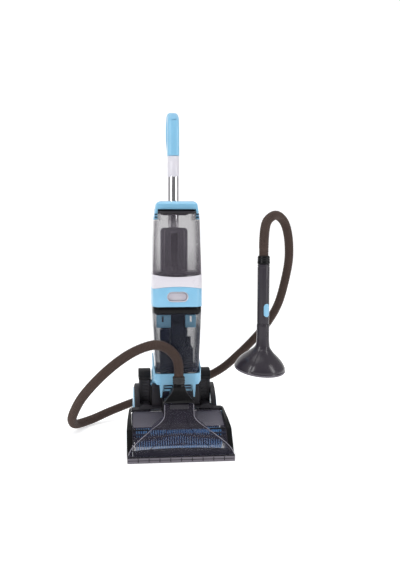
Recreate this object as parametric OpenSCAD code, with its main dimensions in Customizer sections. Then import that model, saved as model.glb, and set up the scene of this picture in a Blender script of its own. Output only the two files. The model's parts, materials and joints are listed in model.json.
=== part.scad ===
// Upright carpet cleaner with a clean tank, a dirty tank, a power brush and a hose with a hand tool.
// Origin: centre of the suction lip's foot, on the floor. +X right, +Y to the back, +Z up. Millimetres.

/* [Base] */
// Width of the suction lip
lip_w = 330; // [320:1:334]
// Depth of the suction lip, front to back
lip_d = 18; // [16:1:20]
// Height of the suction lip
lip_h = 17.6; // [16:0.2:18]
// Radius of a rear wheel
wheel_r = 90; // [86:1:92]
// Radius of the brush roll at the bristle tips
brush_r = 40; // [36:0.5:40]
// Height of the towers that carry the upright
tower_top = 236; // [225:1:245]

/* [Upright] */
// Width of the body column at the motor band
column_w = 159; // [150:1:160]
// Front of the body column, from the origin
column_front = 117; // [115:1:120]
// Back of the body column, from the origin
column_back = 245; // [240:1:246]
// Width of the spine behind the tanks
spine_w = 89; // [80:1:96]
// Outer radius of the handle tube
tube_r = 19; // [17:0.5:19.5]
// Width of the hand grip
grip_w = 39; // [34:1:42]

/* [Tanks] */
// Wall of both tanks
tank_wall = 2.5; // [2:0.1:3]
// Width of the clean tank at its shoulder
clean_top_w = 145; // [136:1:150]
// Width of the dirty tank at its foot
dirty_foot_w = 139; // [130:1:144]

/* [Hose and hand tool] */
// Outer diameter of the hose
hose_d = 32; // [28:1:34]
// Outer radius of the hand tool's handle
tool_r = 19.5; // [18:0.5:20]
// Radius of the hand tool's mouth
tool_mouth_r = 82; // [74:1:84]

/* [Hidden] */
$fn = 64;
slip = 0.3;
fit = 0.05;
eps = 0.01;

// Base
brush_y = 88;
brush_z = 42;
brush_core_r = 20;
brush_half = 139;
shaft_r = 4;
wheel_y = 270;
wheel_in = 121.5;
tyre_w = 14;
hub_r = 70;
cap_r = 80;
cap_out = 141;
guard_r = wheel_r + 7;
guard_out = 134;
pivot_y = 250;
pivot_z = 175;
pivot_r = 10;
tower_in = 82;
tower_out = 119;
tower_y0 = 228;
tower_y1 = 292;
plate_z0 = 24;
plate_z1 = 30;
motor_y = 160;
motor_z = 72;
brush_pulley_r = 16;
motor_pulley_r = 6;
belt_x0 = 129.5;
belt_x1 = 136.5;
roller_r = 11;
roller_y = 150;

// Front cover: side profile from the lip up to the deck
cover_line = [[2, 18], [62, 82], [170, 119]];
cover_half = 148;
bell_top = 165;
bell_neck_half = 47;
bell_lip_half = lip_w / 2 - 2;
neck_back = 96;
slot_front = -6.5;
slot_back = -1;
adapter_top = 215;
cuff_top = 246;
hose_y = 86;

// Upright
column_r = 26;
blue_z0 = 462;
blue_crown = 526;
white_dip = 557;
crown_r = 449;
dip_r = 384;
band_wall = 3.5;
pill_z = 494;
pill_half = 34;
pill_r = 16.5;
motor_axis_y = 192;
tube_y = 285;
spine_z0 = 200;
spine_top = 712;
spine_front_y = 247.5;
spine_back_y = 310;
collar_z0 = 881;
grip_z0 = 951;
seat_z = 247;

// Tanks
dirty_z0 = 248;
dirty_top = 441;
dirty_top_w = 156;
clean_foot_w = 157;
clean_shoulder = 738;
neck_top = 757;
neck_half = 59;
hinge_y = 239;
hinge_z = 757;
tank_front = 120;
tank_back = 243;

// Hand tool
tool_x = 275;
tool_y = 120;
tool_top = 597;
tool_neck = 404;
tool_turn = 25;
head_tilt = 10;
head_z = 345;
end_cuff_top = 624;

// Route of the hose, from the base to the hand tool
HOSE = [
    [0, 86, 246], [0, 86, 270], [-5, 82, 300], [-24, 74, 328], [-50, 64, 346],
    [-80, 55, 353], [-120, 50, 343], [-160, 52, 323], [-200, 62, 293], [-240, 80, 255],
    [-280, 110, 208], [-312, 150, 160], [-335, 200, 108], [-346, 260, 66], [-340, 330, 30],
    [-312, 395, 18], [-270, 435, 22], [-220, 458, 38], [-140, 475, 64], [-60, 480, 92],
    [20, 480, 118], [90, 478, 140], [155, 470, 165], [206, 462, 197], [255, 452, 243],
    [305, 442, 295], [350, 432, 351], [383, 422, 407], [402, 412, 459], [417, 398, 535],
    [423, 385, 590], [421, 372, 635], [411, 350, 686], [388, 315, 732], [345, 255, 755],
    [300, 180, 737], [284, 148, 708], [277, 128, 670], [275, 120, 645], [275, 120, 624]
];

// ---------- shared shapes ----------

// A copy on each side of the middle plane
module both_sides() {
    children();
    mirror([1, 0, 0]) children();
}

// A box from its low corner to its high corner
module box(low, high) {
    translate(low) cube(high - low);
}

// A round bar along X
module bar_x(x0, x1, y, z, r) {
    translate([x0, y, z]) rotate([0, 90, 0]) cylinder(r = r, h = x1 - x0);
}

// A round bar along Y
module bar_y(y0, y1, x, z, r) {
    translate([x, y0, z]) rotate([-90, 0, 0]) cylinder(r = r, h = y1 - y0);
}

// A side profile, given as [y, z] points, drawn out along X
module side_profile(points, x0, x1) {
    translate([x0, 0, 0]) rotate([90, 0, 90]) linear_extrude(height = x1 - x0) polygon(points);
}

// A front outline, given as [x, z] points, drawn out along Y
module front_outline(points, y0, y1) {
    translate([0, y1, 0]) rotate([90, 0, 0]) linear_extrude(height = y1 - y0) polygon(points);
}

// Plan of the body column: a rectangle with round corners
module column_plan(w, y0, y1, r) {
    translate([-w / 2 + r, y0]) square([w - 2 * r, y1 - y0]);
    translate([-w / 2, y0 + r]) square([w, y1 - y0 - 2 * r]);
    for (x = [-w / 2 + r, w / 2 - r], y = [y0 + r, y1 - r]) translate([x, y]) circle(r = r);
}

module column_slab(w, y0, y1, r, z0, z1) {
    translate([0, 0, z0]) linear_extrude(height = z1 - z0) column_plan(w, y0, y1, r);
}

// A tapered column with round corners, between two plans
module tapered_column(w0, w1, inset, r, z0, z1) {
    hull() {
        column_slab(w0 - 2 * inset, tank_front + inset, tank_back - inset, r, z0, z0 + eps);
        column_slab(w1 - 2 * inset, tank_front + inset, tank_back - inset, r, z1 - eps, z1);
    }
}

// A closed smooth outline through hand-set points
function loop_point(p, i, t) =
    let (n = len(p), a = p[(i + n - 1) % n], b = p[i], c = p[(i + 1) % n], d = p[(i + 2) % n])
    0.5 * (2 * b + (c - a) * t + (2 * a - 5 * b + 4 * c - d) * t * t
        + (3 * b - a - 3 * c + d) * t * t * t);
function smooth_loop(p, steps) =
    [for (i = [0 : len(p) - 1], s = [0 : steps - 1]) loop_point(p, i, s / steps)];

// A very large round bar along Y, finely rounded, which curves an edge gently
module arch_y(z, r) {
    bar_y(100, 260, 0, z, r, $fn = 720);
}

// A pill with its long side along X, drawn out along Y
module pill(half, r, y0, y1, z) {
    both_sides() bar_y(y0, y1, half - r, z, r);
    box([-(half - r), y0, z - r], [half - r, y1, z + r]);
}

// ---------- base ----------

function smooth_step(u) = let (c = min(max(u, 0), 1)) c * c * (3 - 2 * c);
function bell_half(z, grow) =
    let (t = (bell_top - z) / (bell_top - 22))
    bell_neck_half + grow + 3 * t + (bell_lip_half - bell_neck_half - 3) * smooth_step((t - 0.25) / 0.75);
function bell_side(grow) = [for (i = [0 : 14]) let (z = bell_top - i * 10.2) [bell_half(z, grow), z]];
function bell_points(grow, z0) = concat(
    [[bell_neck_half + grow, bell_top + 1]], bell_side(grow),
    [[bell_lip_half + grow, z0], [-bell_lip_half - grow, z0]],
    [for (i = [14 : -1 : 0]) [-bell_side(grow)[i][0], bell_side(grow)[i][1]]],
    [[-bell_neck_half - grow, bell_top + 1]]);

// Space in front of the cover, out to the channel's own front face
module bell_solid(grow, front, z0) {
    intersection() {
        front_outline(bell_points(grow, z0), -30, 130);
        side_profile([
            [front[0][0], z0], front[0], front[1], front[2],
            [neck_back, bell_top], [neck_back, cover_line[1][1] + 12.6],
            [cover_line[1][0], cover_line[1][1] + slip], [cover_line[0][0], cover_line[0][1] + slip],
            [cover_line[0][0], z0]
        ], -180, 180);
    }
}

bell_front = [[-9, 24], [54, 88], [69, bell_top]];
bell_cavity = [[-6.2, 23], [56, 86.2], [71.8, bell_top]];

module nozzle_channel() color([0.16, 0.16, 0.19, 0.55]) {
    difference() {
        bell_solid(0, bell_front, lip_h + 0.2);
        difference() {
            bell_solid(-3, bell_cavity, lip_h - 1);
            box([-200, -40, 0], [200, -30, 1]);
        }
        side_profile([[10, 5], [63.5, 82.5], [neck_back + 1, 94.8], [neck_back + 1, 170],
            [73.5, 170], [58.5, 88.5], [-2, 26], [-2, 5]], -bell_neck_half + 3, bell_neck_half - 3);
    }
    both_sides() box([33, 62, 144], [36, 71, 163]);
}

// Two blades with a narrow slot between them, closed at both ends
module nozzle_lip() color([0.45, 0.43, 0.46]) {
    half = lip_w / 2;
    box([-half, -lip_d / 2, 0], [half, slot_front, lip_h]);
    box([-half, slot_back, 0], [half, lip_d / 2, lip_h]);
    both_sides() box([half - 4, slot_front + fit, 0], [half, slot_back - fit, lip_h]);
}

module brush_window() color([0.2, 0.2, 0.24, 0.5]) {
    inner = [for (p = cover_line) p + [0.9, -2.9]];
    side_profile([cover_line[0], cover_line[1], cover_line[2] - [5, 1.7],
        inner[2] - [5, 1.7], inner[1], inner[0] + 2.9 * [0.94, 1]], -cover_half, cover_half);
}

module side_flanks() color([0.1, 0.1, 0.11]) {
    both_sides() difference() {
        intersection() {
            side_profile([[11, 4], [11, 20], [64, 86], [170, 124], [180, 124], [180, 24], [130, 6]],
                140, 170);
            linear_extrude(height = 200) polygon([
                [cover_half + 0.6, 0], [165, 0], [165.5, 60], [162, 110], [156, 165], [151, 181],
                [cover_half + 0.6, 181]]);
        }
        bell_solid(0.5, [bell_front[0] - [3, 0], bell_front[1] - [3, 0], bell_front[2] - [3, 0]], 10);
        bar_x(140, 156, brush_y, brush_z, 9);
    }
}

module deck_cover() color([0.12, 0.12, 0.13]) {
    difference() {
        union() {
            side_profile([[166.5, 112], [166.5, 121], [174, 126], [226, 126], [226, 112]], -117, 117);
            side_profile([[166.5, 112], [166.5, 121], [174, 126], [177.5, 126], [177.5, 112]], -148, 148);
            both_sides() bar_y(170, 226, 100, 112, 22);
            both_sides() bar_y(167, 176, 100, 106, 30);
            both_sides() side_profile([[188, 112], [190, 190], [195, 196], [211, 196], [211, 112]], 47, 79);
        }
        side_profile([[150, 60], [150, 112], [171, 123], [230, 123], [230, 60]], -114, 114);
        box([-150, 160, 60], [150, 230, 112]);
        both_sides() bar_x(118, 140, wheel_y, wheel_r, guard_r + 0.4);
        both_sides() side_profile([[194, 100], [194, 187], [197, 192], [207, 192], [207, 100]], 51, 75);
    }
}

module chassis() color([0.09, 0.09, 0.1]) {
    difference() {
        union() {
            box([-tower_out, 136, plate_z0], [tower_out, 300, plate_z1]);
            both_sides() side_profile([[136, plate_z0], [136, 100], [160, 108], [168, 111.5], [226.5, 111.5],
                [226.5, plate_z0]], 113, tower_out);
            both_sides() box([113, roller_y - 9, 5], [tower_out, roller_y + 9, plate_z0 + 1]);
            box([-tower_out, 294, plate_z0], [tower_out, 300, 62]);
            brush_hood();
            both_sides() bar_x(142, 148, brush_y, brush_z, 14);
            both_sides() side_profile([[60, 36], [60, 60], [100, 84], [134, 70], [137, 24], [128, 24]],
                142, 148);
            both_sides() box([117, 130, 40], [148, 137, 62]);
        }
        both_sides() bar_x(141, 149, brush_y, brush_z, shaft_r + fit);
        both_sides() bar_x(112, 120, roller_y, roller_r, 3 + fit);
        bar_x(112, 120, motor_y, motor_z, 3 + fit);
        box([127.5, 60, 30], [138.5, 180, 100]);
    }
}

// Quarter of a tube over the back of the brush
module brush_hood() {
    intersection() {
        difference() {
            bar_x(-148, 142.5, brush_y, brush_z, 47);
            bar_x(-150, 150, brush_y, brush_z, 44);
        }
        box([-150, brush_y + 14, plate_z0], [150, 140, 100]);
    }
}

module towers() color([0.11, 0.11, 0.12]) {
    both_sides() difference() {
        union() {
            side_profile([[228, 30.2], [228, 215], [240, 231], [252, tower_top], [270, tower_top],
                [284, 226], [tower_y1, 205], [tower_y1, 30.2]], tower_in, tower_out);
            bar_x(62, tower_in + 1, pivot_y, pivot_z, pivot_r);
        }
        side_profile([[238, 36], [238, 120], [282, 120], [282, 36]], tower_in - 1, tower_out - 4);
        box([tower_in + 8, 227, 130], [tower_out - 8, 231, 205]);
        bar_x(tower_in, tower_out + 1, wheel_y, wheel_r, shaft_r + fit);
    }
    both_sides() {
        mudguard(tower_out + 0.2, guard_out, 168);
        mudguard(tower_out - 2, tower_out + 1, tower_y0 + 1);
    }
}

// Part of a ring over the front of the wheel
module mudguard(x0, x1, y0) {
    intersection() {
        difference() {
            bar_x(x0, x1, wheel_y, wheel_r, guard_r);
            bar_x(x0 - 1, x1 + 1, wheel_y, wheel_r, guard_r - 3.5);
        }
        box([x0, y0, wheel_r + 8], [x1, 262, 200]);
    }
}

module neck_duct() color([0.07, 0.07, 0.08]) {
    difference() {
        union() {
            side_profile([[96.4, 98], [107, 98], [128, 105.2], [128, bell_top], [96.4, bell_top]], -44, 44);
            box([-30, 126, 138], [30, 240, bell_top]);
            bar_x(-45, 45, pivot_y, pivot_z, 20);
        }
        side_profile([[95, 101], [106, 101], [125, 107.6], [125, bell_top - 3], [95, bell_top - 3]], -41, 41);
        box([-27, 120, 141], [27, 240, bell_top - 3]);
        bar_x(-42, 46, pivot_y, pivot_z, 17);
    }
}

function adapter_half(z) = let (u = (z - bell_top) / (adapter_top - bell_top)) 19 + 31 * pow(1 - u, 1.5);

module hose_adapter() color([0.06, 0.06, 0.07]) {
    z0 = bell_top + 0.3;
    adapter_side = [for (i = [0 : 10]) let (z = z0 + i * (adapter_top - z0) / 10) [adapter_half(z), z]];
    difference() {
        union() {
            intersection() {
                front_outline(concat([for (p = adapter_side) p], [for (i = [10 : -1 : 0])
                    [-adapter_side[i][0], adapter_side[i][1]]]), 60, 120);
                side_profile([[66, z0], [67, adapter_top], [105, adapter_top], [110, z0]], -60, 60);
            }
            translate([0, hose_y, adapter_top - 1]) cylinder(r = 18.5, h = 9);
        }
        translate([0, hose_y, z0 - 1]) cylinder(r = 13, h = 80);
        box([-38, 72, z0 - 1], [38, 104, z0 + 14]);
    }
}

module hose_cuff() color([0.05, 0.05, 0.05]) {
    z0 = adapter_top + 8.3;
    translate([0, hose_y, 0]) difference() {
        union() {
            translate([0, 0, z0]) cylinder(r = 19, h = cuff_top - z0);
            for (i = [0 : 2]) translate([0, 0, z0 + 4 + i * 6]) cylinder(r = 19.8, h = 2);
        }
        translate([0, 0, z0 - 1]) cylinder(r = 13, h = 40);
    }
}

// A round tube swept along a route of points
function unit(v) = v / norm(v);
function route_dir(p, i) = unit(p[min(i + 1, len(p) - 1)] - p[max(i - 1, 0)]);
function carry(n, d) = unit(n - d * (n * d));
function frames(p, i, n) =
    i == len(p) ? [] : let (m = carry(n, route_dir(p, i))) concat([m], frames(p, i + 1, m));

module swept_tube(p, r, sides) {
    side_dirs = frames(p, 0, [1, 0, 0]);
    count = len(p);
    rings = [for (i = [0 : count - 1]) let (d = route_dir(p, i), a = side_dirs[i], b = cross(d, a))
        for (k = [0 : sides - 1]) p[i] + r * (cos(k * 360 / sides) * a + sin(k * 360 / sides) * b)];
    walls = [for (i = [0 : count - 2], k = [0 : sides - 1]) let (n = (k + 1) % sides)
        [i * sides + k, (i + 1) * sides + k, (i + 1) * sides + n, i * sides + n]];
    first = [for (k = [0 : sides - 1]) k];
    last = [for (k = [sides - 1 : -1 : 0]) (count - 1) * sides + k];
    polyhedron(points = rings, faces = concat(walls, [first, last]));
}

module hose() color([0.27, 0.22, 0.2]) swept_tube(HOSE, hose_d / 2, 12);

module hose_end_cuff() color([0.06, 0.06, 0.07]) translate([tool_x, tool_y, 0]) difference() {
    union() {
        translate([0, 0, tool_top + slip]) cylinder(r = 20.2, h = end_cuff_top - tool_top - slip);
        translate([0, 0, tool_top - 25]) cylinder(r = 14, h = 30);
    }
    translate([0, 0, tool_top - 30]) cylinder(r = 11.5, h = 80);
}

module wheel_axle() color([0.7, 0.7, 0.72]) bar_x(-134, 134, wheel_y, wheel_r, shaft_r);

module brush_motor() color([0.3, 0.3, 0.32]) {
    bar_x(25, 105, motor_y, motor_z, 24);
    bar_x(18, 26, motor_y, motor_z, 12);
    bar_x(105, 128, motor_y, motor_z, 3);
    box([30, motor_y - 14, plate_z1 + 0.2], [100, motor_y + 14, motor_z - 18]);
}

module belt_plan(grow) {
    hull() {
        translate([brush_y, brush_z]) circle(r = brush_pulley_r + grow);
        translate([motor_y, motor_z]) circle(r = motor_pulley_r + grow);
    }
}

module drive_belt() color([0.04, 0.04, 0.04])
    translate([belt_x0, 0, 0]) rotate([90, 0, 90]) linear_extrude(height = belt_x1 - belt_x0) difference() {
        belt_plan(2.3);
        belt_plan(slip);
    }

module spray_bar() color([0.75, 0.75, 0.78]) {
    bar_x(-112, 112, 130, 90, 4);
    for (x = [-90 : 60 : 90]) translate([x, 130, 90]) rotate([-45, 0, 0]) translate([0, 0, -13])
        cylinder(r = 3, h = 12);
}

module pump() color([0.2, 0.2, 0.22]) {
    box([-100, 185, plate_z1 + 0.2], [-50, 222, 72]);
    bar_y(222, 234, -68, 52, 12);
    bar_y(178, 186, -85, 56, 4);
}

module screws() color([0.6, 0.6, 0.62])
    for (x = [-32, 32], z = [250, 450, 660]) {
        bar_y(spine_back_y + 0.2, spine_back_y + 2.6, x, z, 4);
        bar_y(spine_back_y - 12, spine_back_y + 1, x, z, 2);
    }

module nozzle_latch() color([0.33, 0.33, 0.35]) {
    box([-30, 61, 147], [30, 65.5, 161]);
    for (i = [-5 : 5]) box([i * 5 - 0.8, 60.2, 149], [i * 5 + 0.8, 61.5, 159]);
}

module brush_core() color([0.1, 0.14, 0.2]) {
    bar_x(-brush_half, 128, brush_y, brush_z, brush_core_r);
    bar_x(127, belt_x1 + 1, brush_y, brush_z, brush_pulley_r);
    bar_x(-147, 147, brush_y, brush_z, shaft_r);
}

// Five rows of tufts in a shallow chevron
module brush_tufts() color([0.35, 0.62, 0.8])
    for (row = [0 : 4], i = [-6 : 6]) {
        turn = row * 72 + 4 * abs(i);
        translate([i * 20 - 4, brush_y, brush_z]) rotate([turn, 0, 0])
            translate([0, 0, brush_core_r + 0.2])
                cylinder(r = 4.5, h = brush_r - brush_core_r - 0.2, $fn = 16);
    }

module motor_pulley() color([0.65, 0.65, 0.6]) difference() {
    bar_x(128.5, belt_x1 + 1, motor_y, motor_z, motor_pulley_r);
    bar_x(120, 140, motor_y, motor_z, 2);
}

module front_rollers() color([0.08, 0.08, 0.09]) {
    bar_x(-118.5, 118.5, roller_y, roller_r, 3);
    both_sides() bar_x(92, 110, roller_y, roller_r, roller_r);
}

module tyre() rotate([0, 90, 0]) rotate_extrude($fn = 96) polygon([
    [hub_r, 0], [wheel_r - 5, 0], [wheel_r - 1, 2], [wheel_r, 5], [wheel_r, tyre_w - 5],
    [wheel_r - 1, tyre_w - 2], [wheel_r - 5, tyre_w], [hub_r, tyre_w]]);

module hub() rotate([0, 90, 0]) {
    dome = cap_out - wheel_in;
    difference() {
        rotate_extrude($fn = 96) polygon(concat(
            [[0, 2], [20, 2], [20, 6], [hub_r - 6, 6], [hub_r - 6, 0.5], [hub_r - 0.2, 0.5],
                [hub_r - 0.2, tyre_w + 0.3], [cap_r, tyre_w + 0.3], [cap_r, tyre_w + 1.6]],
            [for (i = [7 : -1 : 0]) [cap_r * i / 8, dome - 3.6 * pow(i / 8, 2)]]));
        cylinder(r = shaft_r + fit, h = 13.5);
    }
}

module left_tyre() color([0.06, 0.06, 0.06]) mirror([1, 0, 0]) right_tyre();
module left_hub() color([0.5, 0.75, 0.9]) mirror([1, 0, 0]) right_hub();
module right_tyre() color([0.06, 0.06, 0.06]) translate([wheel_in, wheel_y, wheel_r]) tyre();
module right_hub() color([0.5, 0.75, 0.9]) translate([wheel_in, wheel_y, wheel_r]) hub();

// ---------- upright ----------

module yoke() color([0.5, 0.75, 0.9]) {
    w = column_w - 5;
    difference() {
        union() {
            difference() {
                column_slab(w, column_front + 1, column_back + 1, column_r, 212, seat_z);
                column_slab(w - 8, column_front + 5, column_back - 3, column_r - 4, 206, seat_z - 4);
                both_sides() front_outline([[w / 2 - 11, 211], [w / 2 + 1, 211], [w / 2 + 1, 224]], 110, 214);
            }
            front_outline([[-50, 216], [50, 216], [50, 196], [44, 184], [30, 178], [-30, 178], [-44, 184],
                [-50, 196]], column_front + 9, column_front + 13);
            both_sides() intersection() {
                column_slab(w, column_front + 1, column_back + 1, column_r, seat_z - 1, 300);
                side_profile([[118, 246], [118, 250], [140, 262], [200, 290], [246, 300], [246, 246]],
                    72.6, w / 2);
            }
            both_sides() front_outline([[46, 213], [58, 213], [55, 171], [51, 171]],
                column_front + 1, column_front + 14);
            both_sides() side_profile([[214, 230], [214, 200], [226, 176], [232, 160], [268, 160],
                [276, 180], [276, 230]], 62, 76.5);
            both_sides() bar_x(62, 81, pivot_y, pivot_z, 26);
            box([-76, 240, 205], [76, spine_front_y, seat_z]);
        }
        both_sides() bar_x(60, 84, pivot_y, pivot_z, pivot_r + fit);
        translate([0, 205, seat_z - 10]) cylinder(r = 14, h = 20);
    }
}

module tube_hole(z0, z1) {
    translate([0, tube_y, z0]) cylinder(r = tube_r + fit, h = z1 - z0);
}

module spine_outline(w, z0, z1, r) {
    square_w = w - 2 * r;
    translate([-w / 2, z0]) square([w, z1 - z0 - r]);
    translate([-square_w / 2, z0]) square([square_w, z1 - z0]);
    for (x = [-1, 1]) translate([x * square_w / 2, z1 - r]) circle(r = r);
}

module spine_slab(w, z0, z1, r, y0, y1) {
    translate([0, y1, 0]) rotate([90, 0, 0]) linear_extrude(height = y1 - y0) spine_outline(w, z0, z1, r);
}

module spine_front() color([0.2, 0.2, 0.23]) difference() {
    union() {
        difference() {
            spine_slab(spine_w, spine_z0, spine_top, 12, spine_front_y, tube_y);
            spine_slab(spine_w - 6, spine_z0 + 3, spine_top - 6, 9, spine_front_y + 3, tube_y + 1);
        }
        box([-24, 262, 600], [24, tube_y, 640]);
        box([-14, 245.4, 575], [14, 248, 700]);
    }
    tube_hole(599, 720);
}

module spine_back() color([0.16, 0.16, 0.18]) difference() {
    union() {
        difference() {
            spine_slab(spine_w - 3, spine_z0, spine_top - 2, 12, tube_y + slip, spine_back_y);
            spine_slab(spine_w - 9, spine_z0 + 3, spine_top - 8, 9, tube_y - 1, spine_back_y - 3);
        }
        box([-24, tube_y + slip, 600], [24, 308, 640]);
        bar_y(298, spine_back_y, 0, 560, 10);
    }
    tube_hole(599, 720);
    bar_y(290, 320, 0, 560, 5 + fit);
    bar_y(300, 320, 0, 225, 7 + fit);
    for (x = [-32, 32], z = [250, 450, 660]) bar_y(300, 320, x, z, 2 + fit);
}

module band_shell(w, z0, z1) {
    difference() {
        column_slab(w, column_front, column_back, column_r, z0, z1);
        column_slab(w - 2 * band_wall, column_front + band_wall, column_back - band_wall,
            column_r - band_wall, z0 + 4, z1 + 1);
    }
}

module blue_band() color([0.5, 0.75, 0.9]) difference() {
    intersection() {
        band_shell(column_w, blue_z0, blue_crown + 1);
        arch_y(blue_crown - crown_r, crown_r);
    }
    pill(pill_half, pill_r, 110, 125, pill_z);
    translate([0, motor_axis_y, blue_z0 - 1]) cylinder(r = 20, h = 8);
}

module white_band() color([0.92, 0.92, 0.93]) difference() {
    column_slab(column_w, column_front, column_back, column_r, 514, 572);
    arch_y(blue_crown + slip - crown_r, crown_r);
    arch_y(white_dip + dip_r, dip_r);
    column_slab(column_w - 2 * band_wall, column_front + band_wall, column_back - band_wall,
        column_r - band_wall, 500, 552);
}

module grip_liner() color([0.9, 0.9, 0.92]) difference() {
    pill(pill_half - 0.2, pill_r - 0.2, column_front + 0.6, 142, pill_z);
    pill(pill_half - 2.2, pill_r - 2.2, 110, 140, pill_z);
}

module suction_motor() color([0.35, 0.35, 0.38]) translate([0, motor_axis_y, 0]) {
    translate([0, 0, 470]) cylinder(r = 44, h = 50);
    translate([0, 0, 466.2]) cylinder(r = 18, h = 5);
    translate([0, 0, 519]) cylinder(r = 3, h = 29);
}

module fan() color([0.75, 0.75, 0.78]) translate([0, motor_axis_y, 0]) difference() {
    union() {
        translate([0, 0, 524]) cylinder(r = 40, h = 2);
        translate([0, 0, 524]) cylinder(r = 10, h = 20);
        for (k = [0 : 7]) rotate([0, 0, k * 45]) box([8, -1, 525.5], [39, 1, 542]);
    }
    translate([0, 0, 520]) cylinder(r = 3 + fit, h = 30);
}

module handle_tube() color([0.8, 0.8, 0.82]) translate([0, tube_y, 600]) difference() {
    cylinder(r = tube_r, h = grip_z0 + 9 - 600);
    translate([0, 0, -1]) cylinder(r = tube_r - 1.5, h = 400);
}

module tube_collar() color([0.92, 0.92, 0.93]) translate([0, tube_y, collar_z0]) difference() {
    cylinder(r = grip_w / 2 + 0.3, h = grip_z0 - collar_z0 - 0.2);
    translate([0, 0, -1]) cylinder(r = tube_r + fit, h = 90);
}

GRIP_OUTER = [
    [265, 940], [265, 1000], [267, 1040], [276, 1073], [300, 1093], [332, 1099], [360, 1090],
    [377, 1064], [380, 1032], [371, 1002], [348, 974], [322, 952], [306, 940]
];
GRIP_HOLE = [
    [297, 1002], [297, 1030], [303, 1054], [320, 1067], [338, 1067], [349, 1052], [351, 1028],
    [342, 1006], [324, 990], [306, 988]
];

// One half of the loop grip, from the middle plane out to the right
module grip_half() difference() {
    side_profile(smooth_loop(GRIP_OUTER, 5), 0.1, grip_w / 2);
    side_profile(smooth_loop(GRIP_HOLE, 5), -1, grip_w);
    box([-1, 200, 900], [40, 400, grip_z0]);
    tube_hole(940, grip_z0 + 10);
    box([-1, 340, 1024], [5, 368, 1041]);
    power_frame() box([-1, -3, -12], [8.4, 10, 12]);
}

// Frame of the power button: local Y points into the grip
module power_frame() {
    translate([0, 279, 1079]) rotate([-37, 0, 0]) children();
}

module grip_left() color([0.5, 0.75, 0.9]) mirror([1, 0, 0]) grip_half();
module grip_right() color([0.5, 0.75, 0.9]) grip_half();

module grip_trigger() color([0.35, 0.6, 0.78]) {
    side_profile([[335, 1012], [338, 1009], [343, 1012], [345, 1030], [344, 1050], [340, 1053], [336, 1048]],
        -8, 8);
    box([-4, 342, 1026.5], [4, 356, 1038.5]);
}

module power_button() color([0.3, 0.55, 0.72]) power_frame() {
    box([-8, -1.6, -11], [8, 6, 11]);
    for (i = [-2 : 2]) box([-7, -2.4, i * 4 - 0.7], [7, -1.5, i * 4 + 0.7]);
}

module cord_hook_lower() color([0.12, 0.12, 0.13]) {
    box([-13, spine_back_y + 0.2, 330], [13, spine_back_y + 34, 340]);
    box([-13, spine_back_y + 28, 306], [13, spine_back_y + 34, 331]);
    box([-16, spine_back_y + 0.2, 322], [16, spine_back_y + 4, 348]);
}

module cord_hook_upper() color([0.12, 0.12, 0.13]) {
    bar_y(294, spine_back_y + 2, 0, 560, 5);
    bar_y(spine_back_y + 0.5, spine_back_y + 10, 0, 560, 13);
    box([-11, spine_back_y + 4, 556], [11, spine_back_y + 34, 566]);
    box([-11, spine_back_y + 28, 565], [11, spine_back_y + 34, 592]);
}

module cord_gland() color([0.05, 0.05, 0.05]) difference() {
    union() {
        bar_y(302, spine_back_y + 1, 0, 225, 7);
        bar_y(spine_back_y + 0.2, spine_back_y + 6, 0, 225, 10);
        bar_y(spine_back_y + 5, spine_back_y + 12, 0, 225, 7);
    }
    bar_y(300, spine_back_y + 20, 0, 225, 4);
}

module tank_latch() color([0.86, 0.86, 0.88])
    pill(pill_half - 4, pill_r - 4, 133.5, 137, pill_z - 1);

// ---------- clean tank ----------

module clean_tank() color([0.5, 0.5, 0.53, 0.4]) difference() {
    union() {
        intersection() {
            tapered_column(clean_foot_w, clean_top_w, 0, 24, 556, clean_shoulder);
            arch_y(white_dip + slip + dip_r, dip_r);
        }
        column_slab(2 * neck_half, 128, 234, 14, clean_shoulder - 1, neck_top);
        both_sides() bar_x(40, 46, hinge_y, hinge_z, 4.5);
        both_sides() box([40, 232, neck_top - 12], [46, hinge_y + 4.5, hinge_z]);
    }
    tapered_column(clean_foot_w, clean_top_w, tank_wall, 22, 568, clean_shoulder - tank_wall);
    column_slab(2 * neck_half - 6, 131, 231, 11, 700, neck_top + 1);
    both_sides() bar_x(39, 47, hinge_y, hinge_z, 2.5 + fit);
    translate([0, 180, 540]) cylinder(r = 9, h = 40);
}

module tank_valve() color([0.12, 0.12, 0.14]) translate([0, 180, 0]) {
    translate([0, 0, 568.2]) cylinder(r = 15, h = 5);
    translate([0, 0, 560]) cylinder(r = 8.6, h = 10);
    for (a = [0, 90]) rotate([0, 0, a]) box([-8, -1.5, 573], [8, 1.5, 588]);
    translate([0, 0, 586]) cylinder(r = 5, h = 6);
}

module tank_lid() color([0.55, 0.55, 0.57]) {
    column_slab(2 * neck_half + 4, 126, 234, 15, neck_top + 3.4, neck_top + 8);
    both_sides() box([10, 233.8, neck_top + 1], [38, hinge_y, neck_top + 8]);
    bar_x(-45.5, 45.5, hinge_y, hinge_z, 2.5);
    both_sides() bar_x(10, 38, hinge_y, hinge_z, 4.5);
}

module tank_seal() color([0.03, 0.03, 0.03]) difference() {
    column_slab(2 * neck_half + 2, 127, 233.5, 14, neck_top + 0.2, neck_top + 3.2);
    column_slab(2 * neck_half - 8, 132, 229, 10, neck_top - 1, neck_top + 5);
}

module carry_handle() color([0.5, 0.75, 0.9]) {
    difference() {
        intersection() {
            front_outline(smooth_top(73.5, 738.4, 797), 148, 212);
            side_profile([[148, 730], [148, 788], [156, 796], [170, 799], [190, 799], [204, 796],
                [212, 788], [212, 730]], -90, 90);
        }
        box([-61.2, 140, 730], [61.2, 220, 771]);
        both_sides() for (i = [0 : 2]) box([67.5, 140, 742 + i * 8], [80, 156, 745 + i * 8]);
        both_sides() box([60, 204, 730], [80, 220, 765]);
    }
}

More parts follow.
